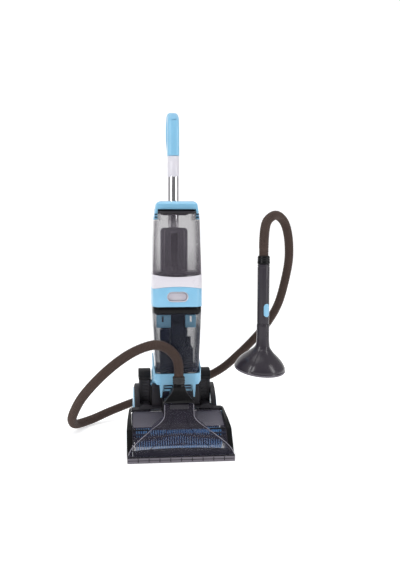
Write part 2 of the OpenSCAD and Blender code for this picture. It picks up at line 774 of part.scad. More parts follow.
// Front outline of the carry handle: upright sides that lean in, and round top corners
function smooth_top(half, z0, z1) = let (r = 16, lean = 7) concat(
    [[-half, z0], [half, z0]],
    [for (i = [0 : 6]) [half - lean - r + r * cos(i * 15), z1 - r + r * sin(i * 15)]],
    [for (i = [6 : -1 : 0]) [-(half - lean - r + r * cos(i * 15)), z1 - r + r * sin(i * 15)]]);

// ---------- dirty tank ----------

module dirty_tank() color([0.5, 0.5, 0.55, 0.4]) difference() {
    tapered_column(dirty_foot_w, dirty_top_w, 0, 22, dirty_z0, dirty_top);
    tapered_column(dirty_foot_w, dirty_top_w, tank_wall, 20, dirty_z0 + 3, dirty_top + 5);
    translate([0, 205, dirty_z0 - 5]) cylinder(r = 13, h = 12);
}

module dirty_lid() color([0.08, 0.08, 0.09]) {
    difference() {
        column_slab(column_w - 3, column_front + 1.5, column_back - 1.5, column_r - 1, dirty_top + 0.3,
            blue_z0 - 0.6);
        translate([0, motor_axis_y, dirty_top]) cylinder(r = 20, h = 30);
    }
    difference() {
        column_slab(dirty_top_w - 14, 126, 237, 18, dirty_top - 5, dirty_top + 1);
        column_slab(dirty_top_w - 20, 129, 234, 15, dirty_top - 6, dirty_top + 0.3);
    }
}

module float_cage() color([0.3, 0.55, 0.72]) {
    difference() {
        union() {
            box([-66, 134, 394], [-21, 166, 435]);
            box([26, 134, 394], [60, 166, 435]);
        }
        box([-63, 137, 390], [-24, 170, 430]);
        box([29, 137, 390], [57, 170, 430]);
        box([-50, 130, 412], [-44, 138, 431]);
        box([40, 130, 412], [46, 138, 431]);
    }
    for (x = [-60, 30]) box([x, 140, 434], [x + 24, 160, dirty_top + 0.2]);
}

module inlet_column() color([0.04, 0.04, 0.05]) {
    difference() {
        box([-20, 140, 330], [24, 205, dirty_top + 0.2]);
        box([-16, 144, 320], [20, 201, 430]);
    }
    box([29, 142, 330], [44, 160, 362]);
    box([23, 148, 340], [30, 156, 352]);
    box([-16, 138.8, 404], [20, 140.2, 412]);
}

module float_ball() color([0.08, 0.1, 0.2]) {
    box([-54, 142, 352], [-24, 172, 386]);
    translate([-39, 157, 385]) cylinder(r = 6, h = 14);
}

module filter_tray() color([0.4, 0.4, 0.45, 0.6]) {
    difference() {
        box([-55, 140, 281], [52, 204, 326]);
        box([-52, 143, 284], [49, 201, 330]);
    }
    box([-55, 142, dirty_z0 + 3.2], [52, 160, 280.5]);
}

// ---------- hand tool ----------

// The tool hangs with its front turned a little to the right
module tool_frame() {
    translate([tool_x, tool_y, 0]) rotate([0, 0, tool_turn]) children();
}

module tool_handle() color([0.1, 0.1, 0.11]) tool_frame() difference() {
    rotate_extrude($fn = 64) polygon([
        [14 + fit, tool_top], [tool_r, tool_top], [tool_r, tool_neck], [13, tool_neck], [13, 560],
        [14 + fit, 562]]);
    button_block(0.4, -25, -5);
}

module button_block(grow, y0, y1) {
    for (z = [439, 461]) bar_y(y0, y1, 0, z, 10 + grow);
    box([-10 - grow, y0, 439], [10 + grow, y1, 461]);
}

module tool_button() color([0.5, 0.75, 0.9]) tool_frame() intersection() {
    button_block(0, -25, -12);
    translate([0, 0, 420]) cylinder(r = tool_r + 1.2, h = 60);
}

// The head is a low bell under the foot of the neck, with its front edge tipped down
module head_frame() {
    tool_frame() translate([0, 0, head_z]) rotate([head_tilt, 0, 0])
        translate([0, 0, -head_z]) children();
}

// Side of the bell, [radius, height], from the rim up to the neck
function bell_profile(t) = [for (p = [[0, 261], [2, 266], [5.5, 273], [11, 282], [18, 290.5], [28, 299.5],
    [40, 308], [52, 317], [60, 329]]) [tool_mouth_r - p[0] - t, p[1]]];

module tool_head() color([0.16, 0.16, 0.18]) difference() {
    union() {
        head_frame() rotate_extrude($fn = 96) polygon(concat(
            bell_profile(0), [[14, 329]],
            [for (i = [8 : -1 : 0]) bell_profile(3)[i] - [0, i == 0 ? 0 : 3]]));
        tool_frame() translate([0, 0, head_z - 16]) cylinder(r = tool_r + 0.5, h = tool_neck - head_z + 15.8);
    }
    tool_frame() translate([0, 0, head_z - 30]) cylinder(r = tool_r - 6.5, h = 100);
}

module tool_lip() color([0.55, 0.53, 0.56]) {
    inner = tool_mouth_r - 3.6;
    outer = tool_mouth_r + 0.6;
    head_frame() rotate_extrude($fn = 96)
        polygon([[inner, 254], [outer, 254], [outer, 260.8], [inner, 260.8]]);
}

chassis();
deck_cover();
towers();
side_flanks();
brush_window();
nozzle_channel();
nozzle_lip();
neck_duct();
hose_adapter();
hose_cuff();
hose();
hose_end_cuff();
wheel_axle();
brush_motor();
drive_belt();
spray_bar();
pump();
screws();
nozzle_latch();
brush_core();
brush_tufts();
motor_pulley();
front_rollers();
left_tyre();
left_hub();
right_tyre();
right_hub();
yoke();
spine_front();
spine_back();
blue_band();
white_band();
grip_liner();
suction_motor();
handle_tube();
tube_collar();
grip_left();
grip_right();
cord_hook_lower();
cord_gland();
fan();
grip_trigger();
power_button();
cord_hook_upper();
tank_latch();
clean_tank();
tank_valve();
tank_lid();
tank_seal();
carry_handle();
dirty_tank();
dirty_lid();
float_cage();
inlet_column();
float_ball();
filter_tray();
tool_handle();
tool_head();
tool_lip();
tool_button();
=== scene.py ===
import json
import math
import random

import bmesh
import bpy
import numpy as np
from mathutils import Matrix, Vector


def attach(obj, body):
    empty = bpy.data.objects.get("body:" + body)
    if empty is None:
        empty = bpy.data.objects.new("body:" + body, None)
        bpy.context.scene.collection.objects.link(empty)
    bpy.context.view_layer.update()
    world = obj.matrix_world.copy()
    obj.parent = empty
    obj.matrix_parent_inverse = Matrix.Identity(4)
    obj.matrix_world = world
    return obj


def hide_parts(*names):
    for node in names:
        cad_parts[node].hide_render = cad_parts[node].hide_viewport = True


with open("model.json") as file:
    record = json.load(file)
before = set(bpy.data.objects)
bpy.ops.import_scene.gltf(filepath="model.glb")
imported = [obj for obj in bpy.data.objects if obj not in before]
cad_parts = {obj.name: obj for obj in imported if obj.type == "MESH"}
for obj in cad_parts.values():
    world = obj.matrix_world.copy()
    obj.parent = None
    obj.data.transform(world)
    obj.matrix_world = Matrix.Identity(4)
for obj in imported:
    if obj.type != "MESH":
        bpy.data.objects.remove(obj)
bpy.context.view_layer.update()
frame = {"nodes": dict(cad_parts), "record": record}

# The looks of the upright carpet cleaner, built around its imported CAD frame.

NODES = frame["nodes"]
BODY_OF = {n: b for b, members in frame["record"]["behaviour"]["bodies"].items() for n in members}
SLOT_OF = {s["node"]: s["material_slot"] for s in frame["record"]["subparts"]}
MM = 0.001
SIDES = ((-1, "left"), (1, "right"))
DONE = set()

# ---- camera


def make_camera():
    """The eye: low, a little to the left of the machine, looking slightly down."""
    data = bpy.data.cameras.new("camera")
    data.sensor_width = 36.0
    data.lens = 44.2
    data.shift_x = 0.045
    cam = bpy.data.objects.new("camera", data)
    cam.location = (-0.203, -2.076, 0.725)
    cam.rotation_euler = (math.radians(85.0), 0.0, math.radians(-5.0))
    bpy.context.scene.collection.objects.link(cam)
    bpy.context.scene.camera = cam


make_camera()

# ---- materials


def rgb(r, g, b):
    """An 8-bit display colour as a linear one."""
    def lin(v):
        v /= 255.0
        return v / 12.92 if v <= 0.04045 else ((v + 0.055) / 1.055) ** 2.4
    return (lin(r), lin(g), lin(b), 1.0)


def shade(color, k):
    return (color[0] * k, color[1] * k, color[2] * k, 1.0)


class Nodes:
    """A small helper that adds shader nodes and links them."""

    def __init__(self, name):
        self.mat = bpy.data.materials.new(name)
        self.mat.use_nodes = True
        self.tree = self.mat.node_tree
        self.shader = self.tree.nodes["Principled BSDF"]
        self.coords = self.tree.nodes.new("ShaderNodeTexCoord").outputs["Object"]

    def add(self, kind, **values):
        node = self.tree.nodes.new(kind)
        for key, value in values.items():
            setattr(node, key, value)
        return node

    def link(self, a, b):
        self.tree.links.new(a, b)

    def set(self, **values):
        for key, value in values.items():
            self.shader.inputs[key.replace("_", " ")].default_value = value

    def noise(self, scale, detail, rough=0.55, stretch=None):
        node = self.add("ShaderNodeTexNoise")
        node.inputs["Scale"].default_value = scale
        node.inputs["Detail"].default_value = detail
        node.inputs["Roughness"].default_value = rough
        source = self.coords
        if stretch is not None:
            mapping = self.add("ShaderNodeMapping")
            mapping.inputs["Scale"].default_value = stretch
            self.link(self.coords, mapping.inputs["Vector"])
            source = mapping.outputs["Vector"]
        self.link(source, node.inputs["Vector"])
        return node.outputs["Fac"]

    def spread(self, value, low, high, start=0.3, stop=0.7):
        node = self.add("ShaderNodeMapRange")
        node.inputs["From Min"].default_value = start
        node.inputs["From Max"].default_value = stop
        node.inputs["To Min"].default_value = low
        node.inputs["To Max"].default_value = high
        self.link(value, node.inputs["Value"])
        return node.outputs["Result"]

    def blend(self, factor, a, b):
        node = self.add("ShaderNodeMix", data_type="RGBA")
        node.inputs[6].default_value = a
        node.inputs[7].default_value = b
        self.link(factor, node.inputs[0])
        return node.outputs[2]

    def bump(self, height, strength, distance, below=None):
        node = self.add("ShaderNodeBump")
        node.inputs["Strength"].default_value = strength
        node.inputs["Distance"].default_value = distance
        self.link(height, node.inputs["Height"])
        if below is not None:
            self.link(below, node.inputs["Normal"])
        self.link(node.outputs["Normal"], self.shader.inputs["Normal"])
        return node.outputs["Normal"]


def plastic(name, color, rough, grain, coat, ior, drift):
    """Moulded plastic with drifting tone, a fine spark grain and uneven gloss."""
    n = Nodes(name)
    tone = n.spread(n.noise(9.0, 4.0), 0.0, 1.0)
    n.link(n.blend(tone, shade(color, 1 - drift), shade(color, 1 + drift)), n.shader.inputs["Base Color"])
    n.link(n.spread(n.noise(45.0, 5.0), rough * 0.85, rough * 1.15), n.shader.inputs["Roughness"])
    flow = n.bump(n.noise(28.0, 2.0), 0.12, 0.0004)
    n.bump(n.noise(1600.0, 2.0, 0.6), grain, 0.00006, flow)
    n.set(IOR=ior, Coat_Weight=coat, Coat_Roughness=0.12)
    return n.mat


def clear(name, color, rough, face, edge, gloss, coat, density_and_shade=None, deep_tint_and_shade=None):
    """Clear moulded plastic: denser where it is seen along the wall, and, if asked, denser and darker with
    height, partly for the wall's own thickness and tint and partly as painted shade.
    """
    n = Nodes(name)
    weight = n.add("ShaderNodeLayerWeight")
    weight.inputs["Blend"].default_value = 0.35
    alpha = n.spread(weight.outputs["Facing"], face, edge, 0.0, 1.0)
    tint = n.blend(n.noise(6.0, 3.0), shade(color, 0.92), shade(color, 1.08))
    if density_and_shade is not None:
        # The height ramp makes the wall denser at some heights: partly its own thickness, partly painted
        # shade.
        split = n.add("ShaderNodeSeparateXYZ")
        n.link(n.coords, split.inputs["Vector"])
        ramp = n.add("ShaderNodeValToRGB")
        n.link(split.outputs["Z"], ramp.inputs["Fac"])
        stops = ramp.color_ramp.elements
        while len(stops) < len(density_and_shade):
            stops.new(0.5)
        for stop, (z, value) in zip(stops, density_and_shade):
            stop.position = z
            stop.color = (value, value, value, 1.0)
        scale = n.add("ShaderNodeMath", operation="MULTIPLY")
        n.link(alpha, scale.inputs[0])
        n.link(ramp.outputs["Color"], scale.inputs[1])
        alpha = scale.outputs["Value"]
        # Low down the wall takes the deep colour: partly its own tint, partly painted shade.
        mixed = n.blend(n.spread(split.outputs["Z"], 0.0, 1.0, 0.44, 0.56), deep_tint_and_shade, color)
        n.link(tint, mixed.node.inputs[7])
        tint = mixed
    n.link(alpha, n.shader.inputs["Alpha"])
    n.link(tint, n.shader.inputs["Base Color"])
    n.link(n.spread(n.noise(30.0, 4.0), rough * 0.7, rough * 1.4), n.shader.inputs["Roughness"])
    n.bump(n.noise(9.0, 1.0, 0.5, (1.0, 1.0, 0.25)), 0.04, 0.0012)
    n.set(IOR=gloss, Coat_Weight=coat, Coat_Roughness=0.03)
    return n.mat


def metal(name, color, rough, streak, axis_scale):
    """Drawn or polished metal with fine streaks along its length."""
    n = Nodes(name)
    lines = n.noise(60.0, 6.0, 0.7, axis_scale)
    n.link(n.spread(lines, rough * 0.6, rough * 1.5), n.shader.inputs["Roughness"])
    n.link(n.blend(lines, shade(color, 0.88), shade(color, 1.06)), n.shader.inputs["Base Color"])
    n.bump(lines, streak, 0.00008)
    n.set(Metallic=1.0)
    return n.mat


def rubber(name, color, rough, grain):
    """Matt rubber with a slightly dusty, pitted skin."""
    n = Nodes(name)
    n.link(n.blend(n.spread(n.noise(35.0, 6.0), 0.0, 1.0), shade(color, 0.75), shade(color, 1.5)),
           n.shader.inputs["Base Color"])
    n.link(n.spread(n.noise(90.0, 4.0), rough - 0.08, rough + 0.08), n.shader.inputs["Roughness"])
    n.bump(n.noise(900.0, 3.0), grain, 0.0001)
    n.set(IOR=1.52)
    return n.mat


def bristle_glow_material():
    """Blue nylon with paler strands, and a faint painted glow in place of light shining through it."""
    n = Nodes("bristle")
    strands = n.noise(700.0, 2.0, 0.5, (1.0, 0.15, 0.15))
    n.link(n.blend(n.spread(strands, 0.0, 1.0), rgb(96, 180, 232), rgb(176, 228, 252)),
           n.shader.inputs["Base Color"])
    n.link(n.spread(strands, 0.3, 0.5), n.shader.inputs["Roughness"])
    # The emission is a painted glow: the nylon gives out light of its own in place of light passing through
    # it.
    n.set(IOR=1.53, Sheen_Weight=0.3, Emission_Color=rgb(70, 140, 200), Emission_Strength=0.26)
    return n.mat


PLASTICS = (
    # name, colour, roughness, grain, coat, refraction, drift of tone
    ("black_plastic", (17, 16, 19), 0.42, 0.5, 0.0, 1.3, 0.05),
    ("charcoal_plastic", (45, 43, 49), 0.38, 0.45, 0.0, 1.34, 0.05),
    ("grey_plastic", (150, 147, 157), 0.4, 0.3, 0.0, 1.49, 0.05),
    ("gunmetal_plastic", (48, 44, 51), 0.22, 0.12, 0.12, 1.36, 0.05),
    ("gloss_black", (10, 10, 12), 0.22, 0.1, 0.08, 1.25, 0.05),
    ("blue_plastic", (128, 184, 216), 0.33, 0.12, 0.2, 1.49, 0.03),
    ("white_plastic", (211, 208, 216), 0.3, 0.1, 0.25, 1.49, 0.02),
    ("lip_plastic", (104, 100, 108), 0.42, 0.15, 0.0, 1.36, 0.05),
    ("hose_plastic", (76, 63, 58), 0.42, 0.2, 0.0, 1.2, 0.1),
    ("navy_plastic", (20, 25, 46), 0.3, 0.2, 0.0, 1.35, 0.05),
)
# How dense the clean tank's wall looks at heights in metres, partly for its own thickness and partly as
# painted shade behind it: pairs of height and share.
TANK_DENSITY_AND_SHADE = ((0.2, 0.72), (0.38, 0.72), (0.41, 0.48), (0.5, 0.5), (0.56, 0.84), (0.6, 0.66),
                (0.66, 0.5), (0.8, 0.46))
MATERIALS = {name: plastic(name, rgb(*color), *rest) for name, color, *rest in PLASTICS}
MATERIALS.update({
    "smoke_clear": clear("smoke_clear", rgb(68, 66, 82), 0.1, 0.14, 0.7, 1.24, 0.08),
    # The tank wall's density and deep colour with height are partly its own thickness and tint, partly
    # painted shade.
    "tank_clear": clear("tank_clear", rgb(98, 92, 101), 0.07, 0.38, 1.56, 1.24, 0.08, TANK_DENSITY_AND_SHADE,
                        rgb(50, 54, 68)),
    "grey_clear": clear("grey_clear", rgb(52, 50, 60), 0.25, 0.62, 0.92, 1.3, 0.1),
    "chrome_tube": metal("chrome_tube", rgb(226, 224, 228), 0.07, 0.04, (1.0, 1.0, 0.02)),
    "steel": metal("steel", rgb(170, 170, 175), 0.3, 0.2, (0.02, 1.0, 1.0)),
    "motor_metal": metal("motor_metal", rgb(140, 140, 146), 0.4, 0.2, (0.05, 1.0, 1.0)),
    "rubber": rubber("rubber", rgb(24, 23, 25), 0.6, 0.5),
    "tyre_rubber": rubber("tyre_rubber", rgb(30, 29, 31), 0.7, 0.8),
    "bristle": bristle_glow_material(),
})

# ---- mesh helpers


def link(obj):
    bpy.context.scene.collection.objects.link(obj)
    return obj


def smooth_mesh(mesh, angle):
    """Smooth shading, with edges sharper than the angle kept crisp."""
    for p in mesh.polygons:
        p.use_smooth = True
    mesh.set_sharp_from_angle(angle=math.radians(angle))


def make_piece(name, bm, slot, body, angle):
    mesh = bpy.data.meshes.new(name)
    bmesh.ops.recalc_face_normals(bm, faces=bm.faces)
    bm.to_mesh(mesh)
    bm.free()
    smooth_mesh(mesh, angle)
    mesh.materials.append(MATERIALS[slot])
    obj = link(bpy.data.objects.new(name, mesh))
    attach(obj, body)
    return obj


def stand_for(node, bm, angle=35.0):
    """A detailed piece that is shown in place of a CAD node."""
    obj = make_piece("fine_" + node, bm, SLOT_OF[node], BODY_OF[node], angle)
    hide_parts(node)
    DONE.add(node)
    return obj


def apply_modifiers(obj):
    graph = bpy.context.evaluated_depsgraph_get()
    graph.update()
    mesh = bpy.data.meshes.new_from_object(obj.evaluated_get(graph))
    obj.modifiers.clear()
    obj.data = mesh
    return obj


def rounded(obj, width, segments):
    """Rounds an object's hard edges."""
    mod = obj.modifiers.new("round", "BEVEL")
    mod.width = width
    mod.segments = segments
    mod.limit_method = "ANGLE"
    mod.angle_limit = math.radians(30.0)
    mod.harden_normals = False
    mod.use_clamp_overlap = True
    apply_modifiers(obj)
    smooth_mesh(obj.data, 40.0)
    return obj


def refined(node, width=0.8, segments=2):
    """A finished version of a CAD node: the same shape with softly rounded edges."""
    bm = bmesh.new()
    bm.from_mesh(NODES[node].data)
    bmesh.ops.remove_doubles(bm, verts=bm.verts, dist=2e-6)
    bmesh.ops.dissolve_limit(bm, angle_limit=math.radians(1.0), verts=bm.verts, edges=bm.edges)
    mesh = bpy.data.meshes.new("fine_" + node)
    bm.to_mesh(mesh)
    bm.free()
    if "custom_normal" in mesh.attributes:
        mesh.attributes.remove(mesh.attributes["custom_normal"])
    mesh.materials.clear()
    mesh.materials.append(MATERIALS[SLOT_OF[node]])
    obj = link(bpy.data.objects.new("fine_" + node, mesh))
    rounded(obj, width * MM, segments)
    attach(obj, BODY_OF[node])
    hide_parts(node)
    DONE.add(node)
    return obj


def cut(obj, cutter_bm):
    """Takes the closed shapes in cutter_bm out of an object."""
    mesh = bpy.data.meshes.new("cutter")
    bmesh.ops.recalc_face_normals(cutter_bm, faces=cutter_bm.faces)
    cutter_bm.to_mesh(mesh)
    cutter_bm.free()
    cutter = link(bpy.data.objects.new("cutter", mesh))
    mod = obj.modifiers.new("cut", "BOOLEAN")
    mod.operation = "DIFFERENCE"
    mod.solver = "EXACT"
    mod.object = cutter
    apply_modifiers(obj)
    bpy.data.objects.remove(cutter)
    smooth_mesh(obj.data, 35.0)
    return obj


def box(bm, low, high):
    """A plain block between two corners in millimetres, for cuts and small ribs."""
    size = [(b - a) * MM for a, b in zip(low, high)]
    middle = [(a + b) / 2 * MM for a, b in zip(low, high)]
    bmesh.ops.create_cube(bm, size=1.0, matrix=Matrix.Translation(middle) @ Matrix.Diagonal((*size, 1.0)))


def side_box(bm, side, xs, ys, zs):
    """A block given for the right side of the machine, and mirrored for the left, where side is -1."""
    low, high = sorted((side * xs[0], side * xs[1]))
    box(bm, (low, ys[0], zs[0]), (high, ys[1], zs[1]))


def spin(degrees, axis):
    return Matrix.Rotation(math.radians(degrees), 4, axis)


def move(bm, matrix):
    bmesh.ops.transform(bm, matrix=matrix, verts=bm.verts)


def fresh(add, *values, **options):
    """A new mesh that starts with one added shape."""
    bm = bmesh.new()
    add(bm, *values, **options)
    return bm


AXES = {
    "x": lambda u, v, w: Vector((w, u, v)) * MM,
    "y": lambda u, v, w: Vector((u, w, v)) * MM,
    "z": lambda u, v, w: Vector((u, v, w)) * MM,
}


def anticlockwise(points):
    area = sum(a[0] * b[1] - b[0] * a[1] for a, b in zip(points, points[1:] + points[:1]))
    return list(points) if area > 0 else list(reversed(points))


def inset(points, d):
    """An anticlockwise outline moved inwards by d, or outwards where d is negative."""
    out = []
    for i, b in enumerate(points):
        before = (Vector(b) - Vector(points[i - 1])).normalized()
        after = (Vector(points[(i + 1) % len(points)]) - Vector(b)).normalized()
        inward = Vector((-before.y - after.y, before.x + after.x))
        if inward.length < 1e-6:
            inward = Vector((-before.y, before.x))
        inward.normalize()
        stretch = max(0.6, inward.dot(Vector((-before.y, before.x))))
        out.append(tuple(Vector(b) + inward * (d / stretch)))
    return out


def round_corners(points, radius, steps):
    """A closed outline with each corner turned into a smooth curve that starts radius away from it."""
    out = []
    for i, b in enumerate(points):
        b = Vector(b)
        a = b + (Vector(points[i - 1]) - b).normalized() * radius
        c = b + (Vector(points[(i + 1) % len(points)]) - b).normalized() * radius
        for k in range(steps + 1):
            t = k / steps
            out.append(tuple(a * (1 - t) ** 2 + b * 2 * t * (1 - t) + c * t * t))
    return out


def rounded_panel(u0, u1, v0, v1, radius, steps):
    """The outline of a rectangle with round corners."""
    return round_corners([(u0, v0), (u1, v0), (u1, v1), (u0, v1)], radius, steps)


def between(a, b, c, d, t):
    """The point a share t of the way from b to c on a smooth curve through all four."""
    return 0.5 * (2 * b + (c - a) * t + (2 * a - 5 * b + 4 * c - d) * t * t
                  + (3 * b - a - 3 * c + d) * t ** 3)


def smooth_loop(points, steps):
    """A closed smooth outline through given points."""
    n = len(points)
    out = []
    for i in range(n):
        four = [Vector(points[(i + k) % n]) for k in (-1, 0, 1, 2)]
        out += [tuple(between(*four, s / steps)) for s in range(steps)]
    return out


def ring_verts(bm, points, w, place):
    return [bm.verts.new(place(u, v, w)) for u, v in points]


def skin(bm, lower, upper):
    """Quads between two rings of the same length."""
    n = len(lower)
    for k in range(n):
        bm.faces.new((lower[k], lower[(k + 1) % n], upper[(k + 1) % n], upper[k]))


def closed_sheet(bm, front, back):
    """Two grids of points of the same size, joined into one thin closed sheet."""
    rows, columns = len(front) - 1, len(front[0]) - 1
    for grid in (front, back):
        for i in range(rows):
            for k in range(columns):
                bm.faces.new((grid[i][k], grid[i][k + 1], grid[i + 1][k + 1], grid[i + 1][k]))
    rim = [(0, k) for k in range(columns)] + [(i, columns) for i in range(rows)]
    rim += [(rows, columns - k) for k in range(columns)] + [(rows - i, 0) for i in range(rows)]
    for (i0, k0), (i1, k1) in zip(rim, rim[1:] + rim[:1]):
        bm.faces.new((front[i0][k0], front[i1][k1], back[i1][k1], back[i0][k0]))


def loop_edges(bm, ring):
    return [bm.edges.get((ring[k], ring[(k + 1) % len(ring)])) for k in range(len(ring))]


def fillet_levels(lo, hi, r_lo, r_hi, steps):
    """(place, inset) pairs along an extrusion whose two end edges are rounded."""
    quarter = [math.pi / 2 * k / steps for k in range(steps + 1)]
    low = [(lo + r_lo * (1 - math.cos(a)), r_lo * (1 - math.sin(a))) for a in quarter]
    high = [(hi - r_hi * (1 - math.cos(a)), r_hi * (1 - math.sin(a))) for a in reversed(quarter)]
    return (low if r_lo > 0 else [(lo, 0.0)]) + (high if r_hi > 0 else [(hi, 0.0)])


def close_levels(bm, levels):
    """Walls between levels of one or two rings each, and a flat end at the first and the last level."""
    for below, above in zip(levels, levels[1:]):
        for lower, upper in zip(below, above):
            skin(bm, lower, upper)
    for rings in (levels[0], levels[-1]):
        if len(rings) == 1:
            bm.faces.new(rings[0])
        else:
            edges = [e for ring in rings for e in loop_edges(bm, ring)]
            bmesh.ops.triangle_fill(bm, use_beauty=True, edges=edges)


def extruded(bm, outline, lo, hi, r_lo, r_hi, axis, hole=None):
    """An outline drawn out along an axis, with round end edges, and a hole where one is given."""
    place = AXES[axis]
    outline = anticlockwise(outline)
    hole = anticlockwise(hole) if hole else None
    levels = []
    for w, d in fillet_levels(lo, hi, r_lo, r_hi, 4):
        levels.append([ring_verts(bm, inset(outline, d), w, place)])
        if hole:
            levels[-1].append(ring_verts(bm, inset(hole, -d), w, place))
    close_levels(bm, levels)


def bm_point(matrix, r, a, z):
    return matrix @ (Vector((r * math.cos(a), r * math.sin(a), z)) * MM)


def lathe(bm, profile, segments, matrix):
    """A solid turned round the local Z axis: profile is a closed line of (radius, height)."""
    rings = []
    for r, z in profile:
        if r <= 0:
            rings.append([bm.verts.new(matrix @ Vector((0, 0, z * MM)))])
        else:
            rings.append([bm.verts.new(bm_point(matrix, r, 2 * math.pi * k / segments, z))
                          for k in range(segments)])
    for lower, upper in zip(rings, rings[1:]):
        if len(lower) == 1 and len(upper) == 1:
            continue
        for k in range(segments):
            k1 = k + 1
            quad = (lower[k % len(lower)], lower[k1 % len(lower)],
                    upper[k1 % len(upper)], upper[k % len(upper)])
            bm.faces.new(list(dict.fromkeys(quad)))
    if len(rings[0]) > 1 and len(rings[-1]) > 1:
        skin(bm, rings[-1], rings[0])


def frames_along(path, side):
    """A steady pair of side directions at each point of a path."""
    side = Vector(side)
    out = []
    for i, p in enumerate(path):
        d = (path[min(i + 1, len(path) - 1)] - path[max(i - 1, 0)]).normalized()
        side = (side - d * side.dot(d)).normalized()
        out.append((side.copy(), d.cross(side)))
    return out


def tube(bm, path, radii, sides, side=(1, 0, 0)):
    """A round tube along a path in metres, with a closed end at each end."""
    rings = []
    turns = [2 * math.pi * k / sides for k in range(sides)]
    for p, r, (a, b) in zip(path, radii, frames_along(path, side)):
        rings.append([bm.verts.new(p + r * (math.cos(t) * a + math.sin(t) * b)) for t in turns])
    for lower, upper in zip(rings, rings[1:]):
        skin(bm, lower, upper)
    bm.faces.new(rings[0])
    bm.faces.new(rings[-1])


def plan(w, y0, y1, r):
    """Plan of the body column: a rectangle with round corners, anticlockwise."""
    out = []
    for cx, cy, start in ((w / 2 - r, y0 + r, -90), (w / 2 - r, y1 - r, 0), (-w / 2 + r, y1 - r, 90),
                          (-w / 2 + r, y0 + r, 180)):
        for k in range(9):
            a = math.radians(start + 90 * k / 8)
            out.append((cx + r * math.cos(a), cy + r * math.sin(a)))
    return out


def piece(name, bm, slot, body, width=0.0, angle=35.0):
    """A small added piece, with its hard edges rounded where a width is given."""
    obj = make_piece(name, bm, slot, body, angle)
    if width:
        rounded(obj, width * MM, 2)
    return obj


def bead(name, points, r, slot, body, sides=10):
    """A round bead along a line of millimetre points."""
    bm = bmesh.new()
    path = [Vector(p) * MM for p in points]
    tube(bm, path, [r * MM] * len(path), sides, (0.3, 0.9, 0.2))
    return piece(name, bm, slot, body)


# ---- hose

# The hose's middle line, its outside diameter and the distance between its ribs.
HOSE_ROUTE = [
    (0, 86, 246), (0, 86, 270), (-5, 82, 300), (-24, 74, 328), (-50, 64, 346),
    (-80, 55, 353), (-120, 50, 343), (-160, 52, 323), (-200, 62, 293), (-240, 80, 255),
    (-280, 110, 208), (-312, 150, 160), (-335, 200, 108), (-346, 260, 66), (-340, 330, 30),
    (-312, 395, 18), (-270, 435, 22), (-220, 458, 38), (-140, 475, 64), (-60, 480, 92),
    (20, 480, 118), (90, 478, 140), (155, 470, 165), (206, 462, 197), (255, 452, 243),
    (305, 442, 295), (350, 432, 351), (383, 422, 407), (402, 412, 459), (417, 398, 535),
    (423, 385, 590), (421, 372, 635), (411, 350, 686), (388, 315, 732), (345, 255, 755),
    (300, 180, 737), (284, 148, 708), (277, 128, 670), (275, 120, 645), (275, 120, 624),
]
HOSE_D = 0.0314
RIB_PITCH = 0.0042


def smooth_route(points, step):
    """Evenly spaced points on one smooth curve through the route's own points."""
    p = [Vector(q) * MM for q in points]
    p = [p[0] * 2 - p[1], *p, p[-1] * 2 - p[-2]]
    fine = []
    for i in range(1, len(p) - 2):
        fine += [between(*p[i - 1:i + 3], k / 24) for k in range(24)]
    fine.append(p[-2])
    for _ in range(60):
        inner = [(a + 2 * b + c) / 4 for a, b, c in zip(fine, fine[1:], fine[2:])]
        fine = [fine[0], *inner, fine[-1]]
    xyz = np.array([tuple(v) for v in fine])
    run = np.concatenate([[0], np.cumsum(np.linalg.norm(np.diff(xyz, axis=0), axis=1))])
    count = max(2, round(run[-1] / step))
    at = np.linspace(0, run[-1], count + 1)
    return [Vector([np.interp(s, run, xyz[:, k]) for k in range(3)]) for s in at]


def make_hose():
    """The ribbed hose: a round wall with a raised rib every few millimetres."""
    profile = (1.0, 0.97, 0.84, 0.97)
    path = smooth_route(HOSE_ROUTE, RIB_PITCH / len(profile))
    bm = bmesh.new()
    tube(bm, path, [HOSE_D / 2 * profile[i % len(profile)] for i in range(len(path))], 22)
    hose = make_piece("ribbed_hose", bm, "hose_plastic", "base", 60.0)
    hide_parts("hose")
    DONE.add("hose")
    return hose, path


def ribbed_cuff(node, x0, y0, profile):
    """A rubber-like cuff turned round an upright axis."""
    bm = fresh(lathe, profile, 56, Matrix.Translation((x0 * MM, y0 * MM, 0.0)))
    return stand_for(node, bm, 40.0)


hose, hose_path = make_hose()
cuff = ribbed_cuff("hose_cuff", 0, 86, [
    (15.2, 223.4), (17.6, 223.4), (18.9, 224.4), (19.4, 226.0), (19.4, 229.0), (18.6, 230.0), (18.6, 232.0),
    (19.7, 233.0), (19.7, 235.2), (18.6, 236.2), (18.6, 238.4), (19.6, 239.4), (19.6, 242.8), (18.6, 244.6),
    (16.2, 245.8), (15.2, 245.8)])
end_cuff = ribbed_cuff("hose_end_cuff", 275, 120, [
    (11.6, 572.2), (13.2, 572.2), (13.9, 573.2), (13.9, 597.4), (18.4, 597.4), (19.9, 598.6), (20.1, 601.0),
    (20.1, 605.0), (19.3, 606.0), (19.3, 608.0), (20.0, 609.0), (20.0, 611.0), (19.2, 612.0), (19.0, 614.0),
    (19.6, 615.0), (19.4, 619.0), (18.2, 622.4), (16.4, 623.8), (11.6, 623.8)])

# ---- base


def bell_half(z):
    """Half the width of the suction bell's front at a height."""
    t = (165.0 - z) / 143.0
    s = min(1.0, max(0.0, (t - 0.25) / 0.75))
    return 47.0 + 3.0 * t + 113.0 * s * s * (3 - 2 * s)


